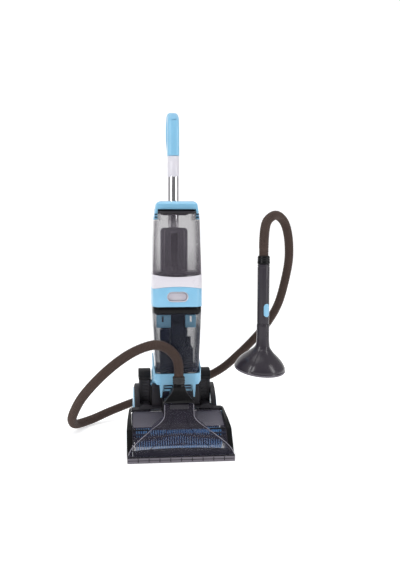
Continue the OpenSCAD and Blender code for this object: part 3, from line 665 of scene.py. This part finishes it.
def bell_front(z):
    """How far back the bell's front lies at a height."""
    low, knee, high = (-9.0, 24.0), (54.0, 88.0), (69.0, 165.0)
    a, b = (low, knee) if z < knee[1] else (knee, high)
    straight = a[0] + (b[0] - a[0]) * (z - a[1]) / (b[1] - a[1])
    near = max(0.0, 1 - abs(z - knee[1]) / 18.0)
    return straight + 3.2 * near * near


def bell_line(side, inward, out, z0=26.0, z1=160.0):
    """Points down one edge of the bell's front, a little inward of its rim."""
    return [(side * (bell_half(z) - inward), bell_front(z) - out, z)
            for z in (z1 + (z0 - z1) * i / 40 for i in range(41))]


def make_bell():
    """The bell, with a dark sheet behind its front that stands for an inner wall and paints shade on its
    upper part, a rolled rim in lighter grey that paints the highlight on its edge, and a fine rib and a
    curved vane down each side.
    """
    refined("nozzle_channel", 1.6, 3)
    # A dark sheet just behind the bell's front paints shade on its upper part, standing for a double wall.
    bm = bmesh.new()
    heights = np.linspace(84, 158, 24)
    sheet = [[[bm.verts.new(Vector((k / 8 * (bell_half(z) - 4.5), bell_front(z) + depth, z)) * MM)
               for k in range(-8, 9)] for z in heights] for depth in (3.4, 4.4)]
    closed_sheet(bm, *sheet)
    piece("bell_inner_shade_sheet", bm, "gunmetal_plastic", "base")
    for side, tag in SIDES:
        # The rim beads are lighter grey than the bell: a rolled edge with its highlight painted on.
        bead("bell_rim_highlight_" + tag, bell_line(side, 1.6, -0.5), 0.95, "grey_plastic", "base", 12)
        bead("bell_rib_" + tag, bell_line(side, 9.0, 0.0, 30.0, 140.0), 0.7, "gunmetal_plastic", "base")
        vane = ((20, 132), (24, 110), (32, 92), (46, 74), (66, 56), (92, 40), (120, 28))
        bead("bell_vane_" + tag, [(side * x, bell_front(z) + 1.8, z) for x, z in vane], 1.1,
             "grey_clear", "base")


def make_lip():
    """The suction lip: ten pads side by side over a groove that runs its whole length."""
    obj = refined("nozzle_lip", 1.4, 3)
    bm = bmesh.new()
    for i in range(1, 10):
        x = -165 + 33 * i
        box(bm, (x - 1.4, -12, 3.0), (x + 1.4, -7.9, 15.4))
    cut(obj, bm)
    cut(obj, fresh(box, (-170, -12, 16.4), (170, -8.0, 26)))
    cut(obj, fresh(box, (-170, -12, 8.0), (170, -8.0, 10.2)))
    bm = bmesh.new()
    for i in range(1, 10):
        x = -165 + 33 * i
        box(bm, (x - 1.3, -8.8, 10.4), (x + 1.3, -7.6, 15.3))
        box(bm, (x - 1.3, -8.8, 3.2), (x + 1.3, -7.6, 8.0))
    box(bm, (-164, -8.7, 8.3), (164, -7.6, 9.9))
    piece("lip_joints", bm, "black_plastic", "base")
    bm = fresh(box, (-164.6, -8.9, 16.6), (164.6, -7.7, 21.4))
    piece("lip_trim", bm, "gloss_black", "base", 0.4)


def make_window():
    """The clear cover over the brush, with rolled edges, a raised brow and round back corners."""
    obj = refined("brush_window", 1.0, 3)
    bm = bmesh.new()
    for side in (-1, 1):
        corner = [(side * 150, 167), (side * 148.2, 144)]
        corner += [(side * (128 + 20 * math.cos(a)), 144 + 20 * math.sin(a)) for a in
                   (math.pi / 2 * k / 8 for k in range(1, 8))]
        corner += [(side * 128, 164), (side * 126, 167)]
        extruded(bm, corner, 98, 126, 0, 0, "z")
    cut(obj, bm)
    rim = []
    for k in range(9):
        a = math.pi / 2 * k / 8
        rim.append((128 + 18.4 * math.cos(a), 144 + 18.4 * math.sin(a)))
    line = [(147, 30), (147, 62), (147, 100)] + rim

    def lifted(x, y):
        z = 18 + (y - 2) * 64 / 60 if y < 62 else 82 + (y - 62) * 35.3 / 103
        return (x, y, z + 0.6)
    for side, tag in SIDES:
        bead("window_rim_" + tag, [lifted(side * x, y) for x, y in line], 1.0, "gunmetal_plastic", "base")
    bead("window_rim_back", [lifted(x, 162.2) for x in np.linspace(-128, 128, 9)], 1.7,
         "grey_clear", "base")
    for side, tag in SIDES:
        bead("window_brow_" + tag, [(side * x, 62.5, 82.2) for x in (146, 120, 96)], 2.6,
             "gloss_black", "base")
        # Navy plates on the window's slope paint the shade of a slot.
        slot = [(side * x, y) for x, y in ((96, 71), (146, 71), (146, 78), (92, 78))]
        bm = fresh(extruded, slot, 0, 1, 0.3, 0.3, "z")
        slope = Matrix.Translation((0, 0.0515, 0.0715)) @ Matrix.Rotation(math.atan2(64, 60), 4, "X")
        shift = Matrix.Translation((0, -0.0745, 0))
        move(bm, slope @ shift)
        piece("window_slot_shade_" + tag, bm, "navy_plastic", "base", 0.3)
    bm = fresh(extruded, [(84, 85.0), (166, 112.2), (166, 113.6), (84, 86.2)], -145, 145, 0.4, 0.4, "x")
    piece("window_liner", bm, "grey_plastic", "base")
    bm = bmesh.new()
    for low in (-146.5, 144.5):
        extruded(bm, [(14, 16), (58, 16), (58, 52), (164, 52), (164, 110.5), (100, 88.8), (64, 74.5),
                      (14, 21)], low, low + 2, 0.4, 0.4, "x")
    piece("window_cheeks", bm, "black_plastic", "base")
    bm = bmesh.new()
    points = [(-147, -1), (147, -1), (147, 17), (120, 20), (60, 23), (0, 24), (-60, 23), (-120, 20),
              (-147, 17)]
    extruded(bm, round_corners(points, 2.0, 3), -0.2, 1.2, 0.0, 0.6, "z")
    slope = Matrix.Translation((0, 0.0035, 0.0196)) @ Matrix.Rotation(math.atan2(64, 60), 4, "X")
    move(bm, slope)
    piece("window_skirt", bm, "gloss_black", "base")


def make_bristles():
    """Rows of nylon tufts, each a bundle of fine strands, round the brush core in a shallow chevron."""
    rng = random.Random(7)
    bm = bmesh.new()
    axis = Vector((0, 88, 42)) * MM
    core, tip_reach, pitch = 19.4, 39.2, 7.6
    for row in range(15):
        for i in range(-18, 18):
            x = i * pitch + pitch / 2
            turn = math.radians(90 + row // 3 * 72 + (row % 3 - 1) * 13 + 0.2 * abs(x))
            for k in range(5):
                around = 2 * math.pi * k / 5 + rng.uniform(-0.3, 0.3)
                dx, da = 0.6 * math.cos(around), 0.08 * math.sin(around)
                a = turn + da
                b = a + da * 0.6 + rng.uniform(-0.02, 0.02)
                root = axis + Vector((x + dx * 0.8, core * math.cos(a), core * math.sin(a))) * MM
                reach = tip_reach + rng.uniform(-1.4, 0.4)
                tip = axis + Vector((x + dx, reach * math.cos(b), reach * math.sin(b))) * MM
                strand(bm, root, tip, 0.6 * MM, 0.5 * MM)
    stand_for("brush_tufts", bm, 60.0)


def strand(bm, root, tip, r0, r1):
    """One tapered four-sided bristle."""
    along = (tip - root).normalized()
    side = along.cross(Vector((1, 0, 0))).normalized()
    up = along.cross(side)
    rings = []
    for p, r in ((root, r0), (tip, r1)):
        turns = [k * math.pi / 2 for k in range(4)]
        rings.append([bm.verts.new(p + r * (side * math.cos(a) + up * math.sin(a))) for a in turns])
    skin(bm, rings[0], rings[1])
    bm.faces.new(rings[0])
    bm.faces.new(rings[1])


WHEEL_AT = (121.5, 270, 90)


def wheel_matrix(side):
    """Local Z runs outwards along the wheel's axle."""
    x, y, z = WHEEL_AT
    return Matrix.Translation((side * x * MM, y * MM, z * MM)) @ spin(90 * side, "Y")


def make_wheels():
    """Tyres with a grooved tread and blocks, and dished hubs with a ring groove."""
    for side, tag in SIDES:
        matrix = wheel_matrix(side)
        bm = fresh(lathe, [(70.1, 0.2), (84.5, 0.2), (86.6, 0.8), (88.8, 2.2), (89.8, 4.4), (89.8, 5.6),
                (88.6, 6.0), (88.6, 7.6), (89.8, 8.0), (89.8, 9.4), (88.8, 11.8), (86.6, 13.2),
                (84.5, 13.7), (79.9, 13.7), (79.9, 12.6), (70.1, 12.6)], 96, matrix)
        tyre = stand_for(tag + "_tyre", bm, 35.0)
        bm = bmesh.new()
        for k in range(60):
            place = (matrix @ Matrix.Rotation(2 * math.pi * k / 60, 4, "Z")
                     @ Matrix.Translation((89.9 * MM, 0, (3.2 if k % 2 else 10.4) * MM))
                     @ Matrix.Diagonal((3.0 * MM, 1.3 * MM, 5.4 * MM, 1.0)))
            bmesh.ops.create_cube(bm, size=1.0, matrix=place)
        cut(tyre, bm)
        bm = fresh(lathe, [(4.1, 1.0), (20, 1.0), (20, 6), (64, 6), (64, 0.6), (69.8, 0.6), (69.8, 14.3),
                (79.6, 14.3), (80.0, 14.9), (79.6, 15.9), (76.6, 16.2), (75.4, 15.6), (72.8, 15.6),
                (71.6, 16.5), (62, 17.3), (48, 18.1), (30, 18.8), (18, 19.1), (16.6, 18.5), (14.6, 18.5),
                (13.4, 19.2), (6, 19.35), (0, 19.4), (0, 14.0), (4.1, 14.0)], 96, matrix)
        stand_for(tag + "_hub", bm, 30.0)


def make_towers():
    """Wheel towers with a raised strip and slats, and a panel on each hump before them."""
    refined("towers", 2.0, 3)
    for side, tag in SIDES:
        bm = fresh(extruded, rounded_panel(side * 113, side * 117.4, 132, 206, 1.6, 3), 226.6, 229,
                   0.8, 0, "y")
        piece("tower_strip_" + tag, bm, "charcoal_plastic", "base")
        bm = bmesh.new()
        for k in range(6):
            side_box(bm, side, (91, 110), (229.4, 232), (136 + k * 11.5, 139 + k * 11.5))
        piece("tower_slats_" + tag, bm, "charcoal_plastic", "base", 0.5)
        bm = fresh(extruded, rounded_panel(side * 49.5, side * 76.5, 124, 184, 4.0, 5), 187.6, 190.2,
                   0.9, 0, "y")
        slope = Matrix.Translation((0, 0.188, 0.112)) @ spin(-1.47, "X") \
            @ Matrix.Translation((0, -0.188, -0.112))
        move(bm, slope)
        piece("hump_panel_" + tag, bm, "charcoal_plastic", "base")


def make_gussets():
    """Dark plates that close the gaps beside the neck, and round caps on the towers."""
    for side, tag in SIDES:
        bm = fresh(side_box, side, (77, 84), (200, 229), (113, 188))
        piece("tower_gusset_" + tag, bm, "black_plastic", "base", 2.0)
        bm = fresh(side_box, side, (43, 49), (99, 190), (118, 165.5))
        piece("neck_gusset_" + tag, bm, "black_plastic", "base", 1.5)
        bm = bmesh.new()
        shape = [(227, 204), (227, 216), (239.5, 232.6), (251.5, 237.6), (270.5, 237.6), (285, 227),
                 (293, 204)]
        low, high = sorted((side * 80, side * 121))
        extruded(bm, round_corners(shape, 2.5, 3), low, high, 2.5, 2.5, "x")
        piece("tower_cap_" + tag, bm, "black_plastic", "base")


def make_base():
    make_gussets()
    make_bell()
    make_lip()
    make_window()
    make_bristles()
    make_wheels()
    make_towers()
    refined("side_flanks", 3.0, 4)
    refined("deck_cover", 2.2, 3)
    refined("chassis", 1.0, 2)
    refined("nozzle_latch", 0.5, 2)
    for side, tag in SIDES:
        bead("adapter_edge_" + tag, [(side * (19 + 31 * (1 - (z - 165.3) / 49.7) ** 1.5 - 1.0), 67.6, z)
                                     for z in np.linspace(167, 214, 16)], 1.2, "charcoal_plastic", "base")


make_base()

# ---- hand tool

# The tool hangs turned towards the viewer, and its head is tipped forward at the foot of its neck.
TOOL = Matrix.Translation((0.275, 0.120, 0.0)) @ spin(25, "Z")
TILT = 10
TILT_AT = Vector((0, 0, 0.345))
HEAD = TOOL @ Matrix.Translation(TILT_AT) @ spin(TILT, "X") @ Matrix.Translation(-TILT_AT)
# The outside of the tool's bell from its lip up: pairs of radius and height.
BELL_LINE = [(81.8, 261.2), (80.2, 265), (77.2, 271.6), (72.6, 279.6), (66.0, 288), (58.0, 296),
             (49.0, 303.6), (40.6, 310.6), (33.4, 317.6), (28.0, 324), (24.4, 330), (22.4, 336),
             (21.4, 342)]


def bell_radius(z):
    """Radius of the hand tool's bell at a height in its own frame."""
    for (r0, z0), (r1, z1) in zip(BELL_LINE, BELL_LINE[1:]):
        if z <= z1:
            return r0 + (r1 - r0) * (z - z0) / (z1 - z0)
    return BELL_LINE[-1][0]


def make_fan_panel():
    """A raised fan-shaped panel over the front of the bell, wide at the lip and narrow at the neck."""
    half_angle, lift, count = 62, 2.2, 22
    heights = [263.5, 268, 274, 281, 288, 295, 302, 309, 316, 322, 328]
    last = len(heights) - 1
    bm = bmesh.new()
    layers = []
    for lifted in (lift, -0.4):
        grid = []
        for i, z in enumerate(heights):
            half = half_angle * (1 - 0.12 * (i / last))
            grid.append([])
            for k in range(count + 1):
                a = math.radians(-90 + half * (2 * k / count - 1))
                edge = min(1.0, min(k, count - k) / 1.5, min(i, last - i) / 0.8)
                r = bell_radius(z) + (lifted * edge if lifted > 0 else lifted)
                grid[-1].append(bm.verts.new(bm_point(tilted(z), r, a, z)))
        layers.append(grid)
    closed_sheet(bm, *layers)
    piece("tool_fan_panel", bm, "gunmetal_plastic", "hand_tool", angle=50.0)


def tilted(z):
    """Frame of the tool's head at a height: upright in the neck and tipped forward in the bell."""
    t = min(1.0, max(0.0, (352 - z) / 34))
    angle = math.radians(TILT) * t * t * (3 - 2 * t)
    return (TOOL @ Matrix.Translation(TILT_AT) @ Matrix.Rotation(angle, 4, "X")
            @ Matrix.Translation(-TILT_AT))


def make_head():
    """Neck and bell as one flared shell."""
    outer = [(20.1, 403.8), (20.4, 402.6), (20.4, 395), (20.2, 380), (20.2, 365), (20.4, 356),
             (20.8, 349)] + BELL_LINE[::-1]
    inner = [(79.0, 261.2), (77.2, 265.4), (73.6, 272.4), (68.4, 279.6), (61.6, 287), (53.4, 294),
             (44.6, 300.6), (35.6, 307), (27.2, 313), (19.6, 319), (13.6, 326), (13.1, 340),
             (13.1, 403.8)]
    count = 96
    rings = []
    for r, z in outer + inner:
        m = tilted(z)
        rings.append([bm_point(m, r, 2 * math.pi * k / count, z) for k in range(count)])
    bm = bmesh.new()
    made = [[bm.verts.new(p) for p in ring] for ring in rings]
    for lower, upper in zip(made, made[1:] + made[:1]):
        skin(bm, lower, upper)
    stand_for("tool_head", bm)


def make_tool():
    """The hand tool: a long handle, a straight neck and a low bell with a pale lip ring."""
    make_head()
    bm = fresh(lathe, [(78.5, 254.1), (80.4, 254.1), (81.9, 254.9), (82.5, 256.4), (82.5, 258.6),
            (81.9, 260.1), (80.9, 260.7), (78.5, 260.7)], 96, HEAD)
    stand_for("tool_lip", bm)
    bm = fresh(lathe, [(14.2, 596.8), (18.2, 596.8), (19.3, 596.0), (19.3, 590.4), (18.7, 589.6),
            (18.7, 587.8), (19.4, 587.0), (19.4, 470.0), (19.4, 425), (19.4, 409), (18.8, 408.2),
            (18.8, 406.6), (19.4, 405.8), (19.0, 404.2), (13.2, 404.2), (13.2, 560), (14.2, 562)], 72,
            TOOL)
    handle = stand_for("tool_handle", bm)
    bm = bmesh.new()
    outline = [(10.3 * math.cos(a), middle + 10.3 * math.sin(a))
               for middle, start in ((461, 0), (439, math.pi))
               for a in np.linspace(start, start + math.pi, 13)]
    extruded(bm, outline, -25, -5, 0, 0, "y")
    move(bm, TOOL)
    cut(handle, bm)
    refined("tool_button", 1.0, 3)
    make_fan_panel()
    bm = fresh(lathe, [(5.0, -0.8), (6.2, -0.8), (6.6, 0.2), (6.2, 0.9), (5.0, 0.9), (4.6, 0.2)], 32,
            TOOL @ Matrix.Translation((0, -0.0203, 0.372)) @ spin(90, "X"))
    piece("tool_neck_mark", bm, "gunmetal_plastic", "hand_tool")


make_tool()

# ---- upright


def make_spine():
    """The back of the body: a ribbed channel with a white bead down each edge that paints the highlight on
    its lit edge, either side of a recessed centre strip.
    """
    refined("spine_front", 3.0, 4)
    refined("spine_back", 3.0, 4)
    for side, tag in SIDES:
        # White beads paint the highlight along the spine's lit edges.
        bead("spine_highlight_bead_" + tag, [(side * 33, 247.4, z) for z in (576, 640, 696)]
             + [(side * 31, 247.4, 702), (side * 27, 247.4, 705.5)], 1.2, "white_plastic", "upright")
        bm = bmesh.new()
        for low, high in ((18.2, 20.4), (26.6, 27.8)):
            side_box(bm, side, (low, high), (244.9, 247.4), (580, 696))
        piece("spine_ribs_" + tag, bm, "grey_plastic", "upright", 0.5)
    bm = fresh(extruded, rounded_panel(-11, 11, 580, 694, 3.0, 4), 244.8, 246, 0.5, 0, "y")
    piece("spine_centre_strip", bm, "black_plastic", "upright")
    bm = fresh(lathe, [(0, -1.0), (6.4, -1.0), (6.8, 0.4), (6.0, 1.2), (0, 1.6)], 32,
            Matrix.Translation((0, 0.2448, 0.659)) @ spin(90, "X"))
    piece("spine_centre_stud", bm, "charcoal_plastic", "upright")
    bm = bmesh.new()
    for k in range(9):
        box(bm, (-30, 309.0, 560 + k * 9), (30, 311.0, 563 + k * 9))
    piece("back_vents", bm, "black_plastic", "upright", 0.6)


GRIP_OUTER = [(265, 940), (265, 1000), (267, 1040), (276, 1073), (300, 1093), (332, 1099), (360, 1090),
              (377, 1064), (380, 1032), (371, 1002), (348, 974), (322, 952), (306, 940)]
GRIP_HOLE = [(297, 1002), (297, 1030), (303, 1054), (320, 1067), (338, 1067), (349, 1052), (351, 1028),
             (342, 1006), (324, 990), (306, 988)]
# The chrome tube's axis, and the seat of the power switch in the grip.
TUBE_AXIS = Matrix.Translation((0, 0.285, 0))
POWER = Matrix.Translation((0, 0.279, 1.079)) @ spin(-37, "X")


def make_grips():
    """The two halves of the loop grip, full and round at the outside, and the collar below."""
    for side, tag in SIDES:
        bm = bmesh.new()
        place = (lambda u, v, w, s=side: Vector((s * w, u, v)) * MM)
        outline = anticlockwise(smooth_loop(GRIP_OUTER, 5))
        hole = anticlockwise(smooth_loop(GRIP_HOLE, 5))
        close_levels(bm, [[ring_verts(bm, inset(outline, d), w, place),
                           ring_verts(bm, inset(hole, -d * 0.5), w, place)]
                          for w, d in fillet_levels(0.15, 19.4, 0.0, 12.5, 8)])
        grip = stand_for("grip_" + tag, bm, 40.0)
        cut(grip, fresh(side_box, side, (-1, 40), (200, 400), (900, 951)))
        cut(grip, fresh(lathe, [(0, 930), (19.1, 930), (19.1, 961), (0, 961)], 48, TUBE_AXIS))
        cut(grip, fresh(side_box, side, (-1, 5), (340, 368), (1024, 1041)))
        bm = fresh(side_box, side, (-1, 8.4), (-3, 10), (-12, 12))
        move(bm, POWER)
        cut(grip, bm)
    refined("power_button", 0.6, 2)
    refined("grip_trigger", 1.6, 3)
    bm = fresh(lathe, [(18.9, 949.4), (19.9, 949.4), (19.9, 941.2), (19.4, 940.2), (19.4, 925.0),
            (19.9, 924.0), (19.9, 886.0), (19.6, 883.0), (19.2, 881.6), (18.9, 881.6)][::-1], 64,
            TUBE_AXIS)
    stand_for("tube_collar", bm)


def make_yoke():
    """The yoke with a stepped web between its two front fins, in navy: the blue web's shade painted into
    its colour.
    """
    refined("yoke", 3.0, 4)
    bm = bmesh.new()
    # The web is blue in shadow, drawn in navy: its darker colour is painted shade.
    for k, (half, low, high) in enumerate(((43, 186, 190), (43, 197, 201), (43, 206, 210))):
        box(bm, (-half, 124.6 - 0.4 * k, low), (half, 126.6, high))
    piece("yoke_web_steps_shaded", bm, "navy_plastic", "upright", 0.8)
    bm = fresh(extruded, rounded_panel(-48, 48, 167, 188, 3.0, 4), 125.6, 130.4, 0.8, 0.8, "y")
    piece("yoke_web_foot_shaded", bm, "navy_plastic", "upright")
    for side, tag in SIDES:
        line = [(side * 66, 119.2, 218), (side * 30, 118.9, 218), (side * 8, 118.9, 218)]
        bead("yoke_edge_" + tag, line, 0.9, "blue_plastic", "upright")


def make_bands():
    """The blue and the white band round the body, with the finger recess and its latch."""
    refined("blue_band", 1.6, 3)
    refined("white_band", 1.6, 3)
    refined("grip_liner", 0.8, 2)
    refined("tank_latch", 1.2, 3)


make_spine()
make_grips()
make_yoke()
make_bands()

# ---- tanks


def make_lid_boss():
    """The raised rear of the lid, seen under the carry handle."""
    bm = fresh(extruded, plan(136, 214.5, 233, 7), 764.8, 774, 0.4, 2.5, "z")
    piece("lid_boss", bm, "gunmetal_plastic", BODY_OF["tank_lid"])


def make_clean_tank():
    """The clear tank with its lid, handle, floor tray, valve and moulded fill marks."""
    refined("clean_tank", 1.0, 2)
    refined("carry_handle", 3.6, 4)
    refined("tank_lid", 1.0, 2)
    for side, tag in SIDES:
        # Navy boxes paint the shade inside the slots of the handle's legs.
        bm = bmesh.new()
        for k in range(2):
            side_box(bm, side, (62, 71.2), (146.8, 149), (744 + k * 9, 748 + k * 9))
        piece("handle_slot_shade_" + tag, bm, "navy_plastic", BODY_OF["carry_handle"], 0.8)
        bm = bmesh.new()
        for k in range(4):
            z = 590 + k * 34
            half = 78.4 - 6.0 * (z - 556) / 182
            box(bm, (side * half - 0.5, 150, z), (side * half + 0.5, 168, z + 1.6))
        piece("fill_marks_" + tag, bm, "tank_clear", BODY_OF["clean_tank"], 0.3)
    bm = fresh(extruded, plan(147, 124.5, 238.5, 19), 562, 572, 1.5, 1.5, "z", hole=plan(60, 150, 210, 18))
    piece("tank_floor_tray", bm, "grey_clear", BODY_OF["clean_tank"])
    bm = bmesh.new()
    matrix = Matrix.Translation((0, 0.180, 0.566))
    lathe(bm, [(17.5, -2.0), (20.5, -2.0), (21.2, -1.0), (21.2, 3.0), (20.0, 4.0), (17.5, 4.0)], 48,
          matrix)
    for k in range(4):
        place = (matrix @ Matrix.Rotation(math.pi / 4 + math.pi / 2 * k, 4, "Z")
                 @ Matrix.Translation((0.0135, 0, 0.001)) @ Matrix.Diagonal((0.012, 0.002, 0.004, 1)))
        bmesh.ops.create_cube(bm, size=1.0, matrix=place)
    piece("valve_cross", bm, "black_plastic", BODY_OF["clean_tank"], 0.3)
    bm = fresh(box, (-2.2, 136, 567), (2.2, 139, 589))
    box(bm, (-12, 136.3, 573), (12, 138.7, 577.5))
    piece("valve_stem", bm, "black_plastic", BODY_OF["clean_tank"], 0.4)


def make_dirty_tank():
    """The lower tank: clear walls over a black inlet column, blue plates, a float and a filter tray."""
    refined("dirty_tank", 1.0, 2)
    refined("dirty_lid", 1.6, 3)
    refined("filter_tray", 1.6, 3)
    bm = fresh(extruded, plan(131, 124.5, 238.5, 17), 251.4, 262, 1.0, 1.5, "z",
               hole=plan(40, 186, 224, 18))
    piece("dirty_floor", bm, "navy_plastic", BODY_OF["dirty_tank"])
    bm = bmesh.new()
    for x in (-44, -33, -22, -11, 0, 11, 22, 33, 44):
        box(bm, (x - 0.9, 138.8, 283), (x + 0.9, 140.4, 322))
    piece("tray_ribs", bm, "grey_clear", BODY_OF["filter_tray"], 0.5)
    bm = bmesh.new()
    for k in range(4):
        box(bm, (-19, 138.8, 372 + k * 7), (23, 140.6, 375 + k * 7))
    piece("inlet_ribs", bm, "navy_plastic", BODY_OF["inlet_column"], 0.6)
    refined("inlet_column", 2.0, 3)
    refined("float_cage", 1.4, 3)
    refined("float_ball", 3.0, 4)


make_clean_tank()
make_lid_boss()
make_dirty_tank()

# ---- the rest of the machine

for node in sorted(set(NODES) - DONE):
    refined(node)

# ---- floor and light


def make_stage():
    """A pale floor that curves up into a pale wall."""
    bm = bmesh.new()
    curve = [(-6.0, 0.0), (5.0, 0.0)]
    curve += [(5.0 + 2.0 * math.sin(a), 2.0 - 2.0 * math.cos(a))
              for a in np.linspace(0.1, math.pi / 2, 12)]
    curve += [(7.0, 9.0)]
    left = [bm.verts.new((-9.0, y, z - 0.0005)) for y, z in curve]
    right = [bm.verts.new((9.0, y, z - 0.0005)) for y, z in curve]
    for i in range(len(curve) - 1):
        bm.faces.new((left[i], right[i], right[i + 1], left[i + 1]))
    mesh = bpy.data.meshes.new("studio_floor")
    bm.to_mesh(mesh)
    bm.free()
    smooth_mesh(mesh, 60.0)
    n = Nodes("studio_floor")
    n.link(n.blend(n.noise(1.5, 2.0), rgb(226, 226, 227), rgb(230, 230, 230)),
           n.shader.inputs["Base Color"])
    n.set(Roughness=0.8, IOR=1.15, Emission_Color=(1.0, 1.0, 1.0, 1.0), Emission_Strength=0.58)
    mesh.materials.append(n.mat)
    link(bpy.data.objects.new("studio_floor", mesh))


def softbox(name, where, target, width, height, power):
    data = bpy.data.lights.new(name, "AREA")
    data.shape = "RECTANGLE"
    data.size, data.size_y, data.energy = width, height, power
    obj = link(bpy.data.objects.new(name, data))
    obj.location = where
    obj.rotation_euler = (Vector(target) - Vector(where)).to_track_quat("-Z", "Y").to_euler()


def make_world():
    """An even white room, with a dark screen that gives polished tubes their dark middle."""
    world = bpy.data.worlds.new("studio")
    world.use_nodes = True
    tree = world.node_tree
    background = tree.nodes["Background"]
    coords = tree.nodes.new("ShaderNodeTexCoord")
    split = tree.nodes.new("ShaderNodeSeparateXYZ")
    tree.links.new(coords.outputs["Generated"], split.inputs["Vector"])
    ramp = tree.nodes.new("ShaderNodeMapRange")
    ramp.interpolation_type = "SMOOTHSTEP"
    for key, value in (("From Min", -0.95), ("From Max", -0.6), ("To Min", 0.22), ("To Max", 0.5)):
        ramp.inputs[key].default_value = value
    tree.links.new(split.outputs["Y"], ramp.inputs["Value"])
    path = tree.nodes.new("ShaderNodeLightPath")
    lift = tree.nodes.new("ShaderNodeMath")
    lift.operation = "MAXIMUM"
    tree.links.new(ramp.outputs["Result"], lift.inputs[0])
    tree.links.new(path.outputs["Is Camera Ray"], lift.inputs[1])
    tree.links.new(lift.outputs["Value"], background.inputs["Strength"])
    background.inputs["Color"].default_value = (1.0, 1.0, 1.0, 1.0)
    bpy.context.scene.world = world


def make_light():
    make_world()
    softbox("key_left", (-2.0, -1.6, 1.9), (0.0, 0.15, 0.55), 0.7, 2.0, 36.0)
    softbox("fill_right", (2.2, -1.2, 1.3), (0.05, 0.15, 0.5), 0.5, 2.0, 22.0)
    softbox("top", (0.0, 0.2, 3.2), (0.0, 0.15, 0.0), 2.2, 2.2, 30.0)
    bpy.context.scene.view_settings.view_transform = "Standard"


make_stage()
make_light()
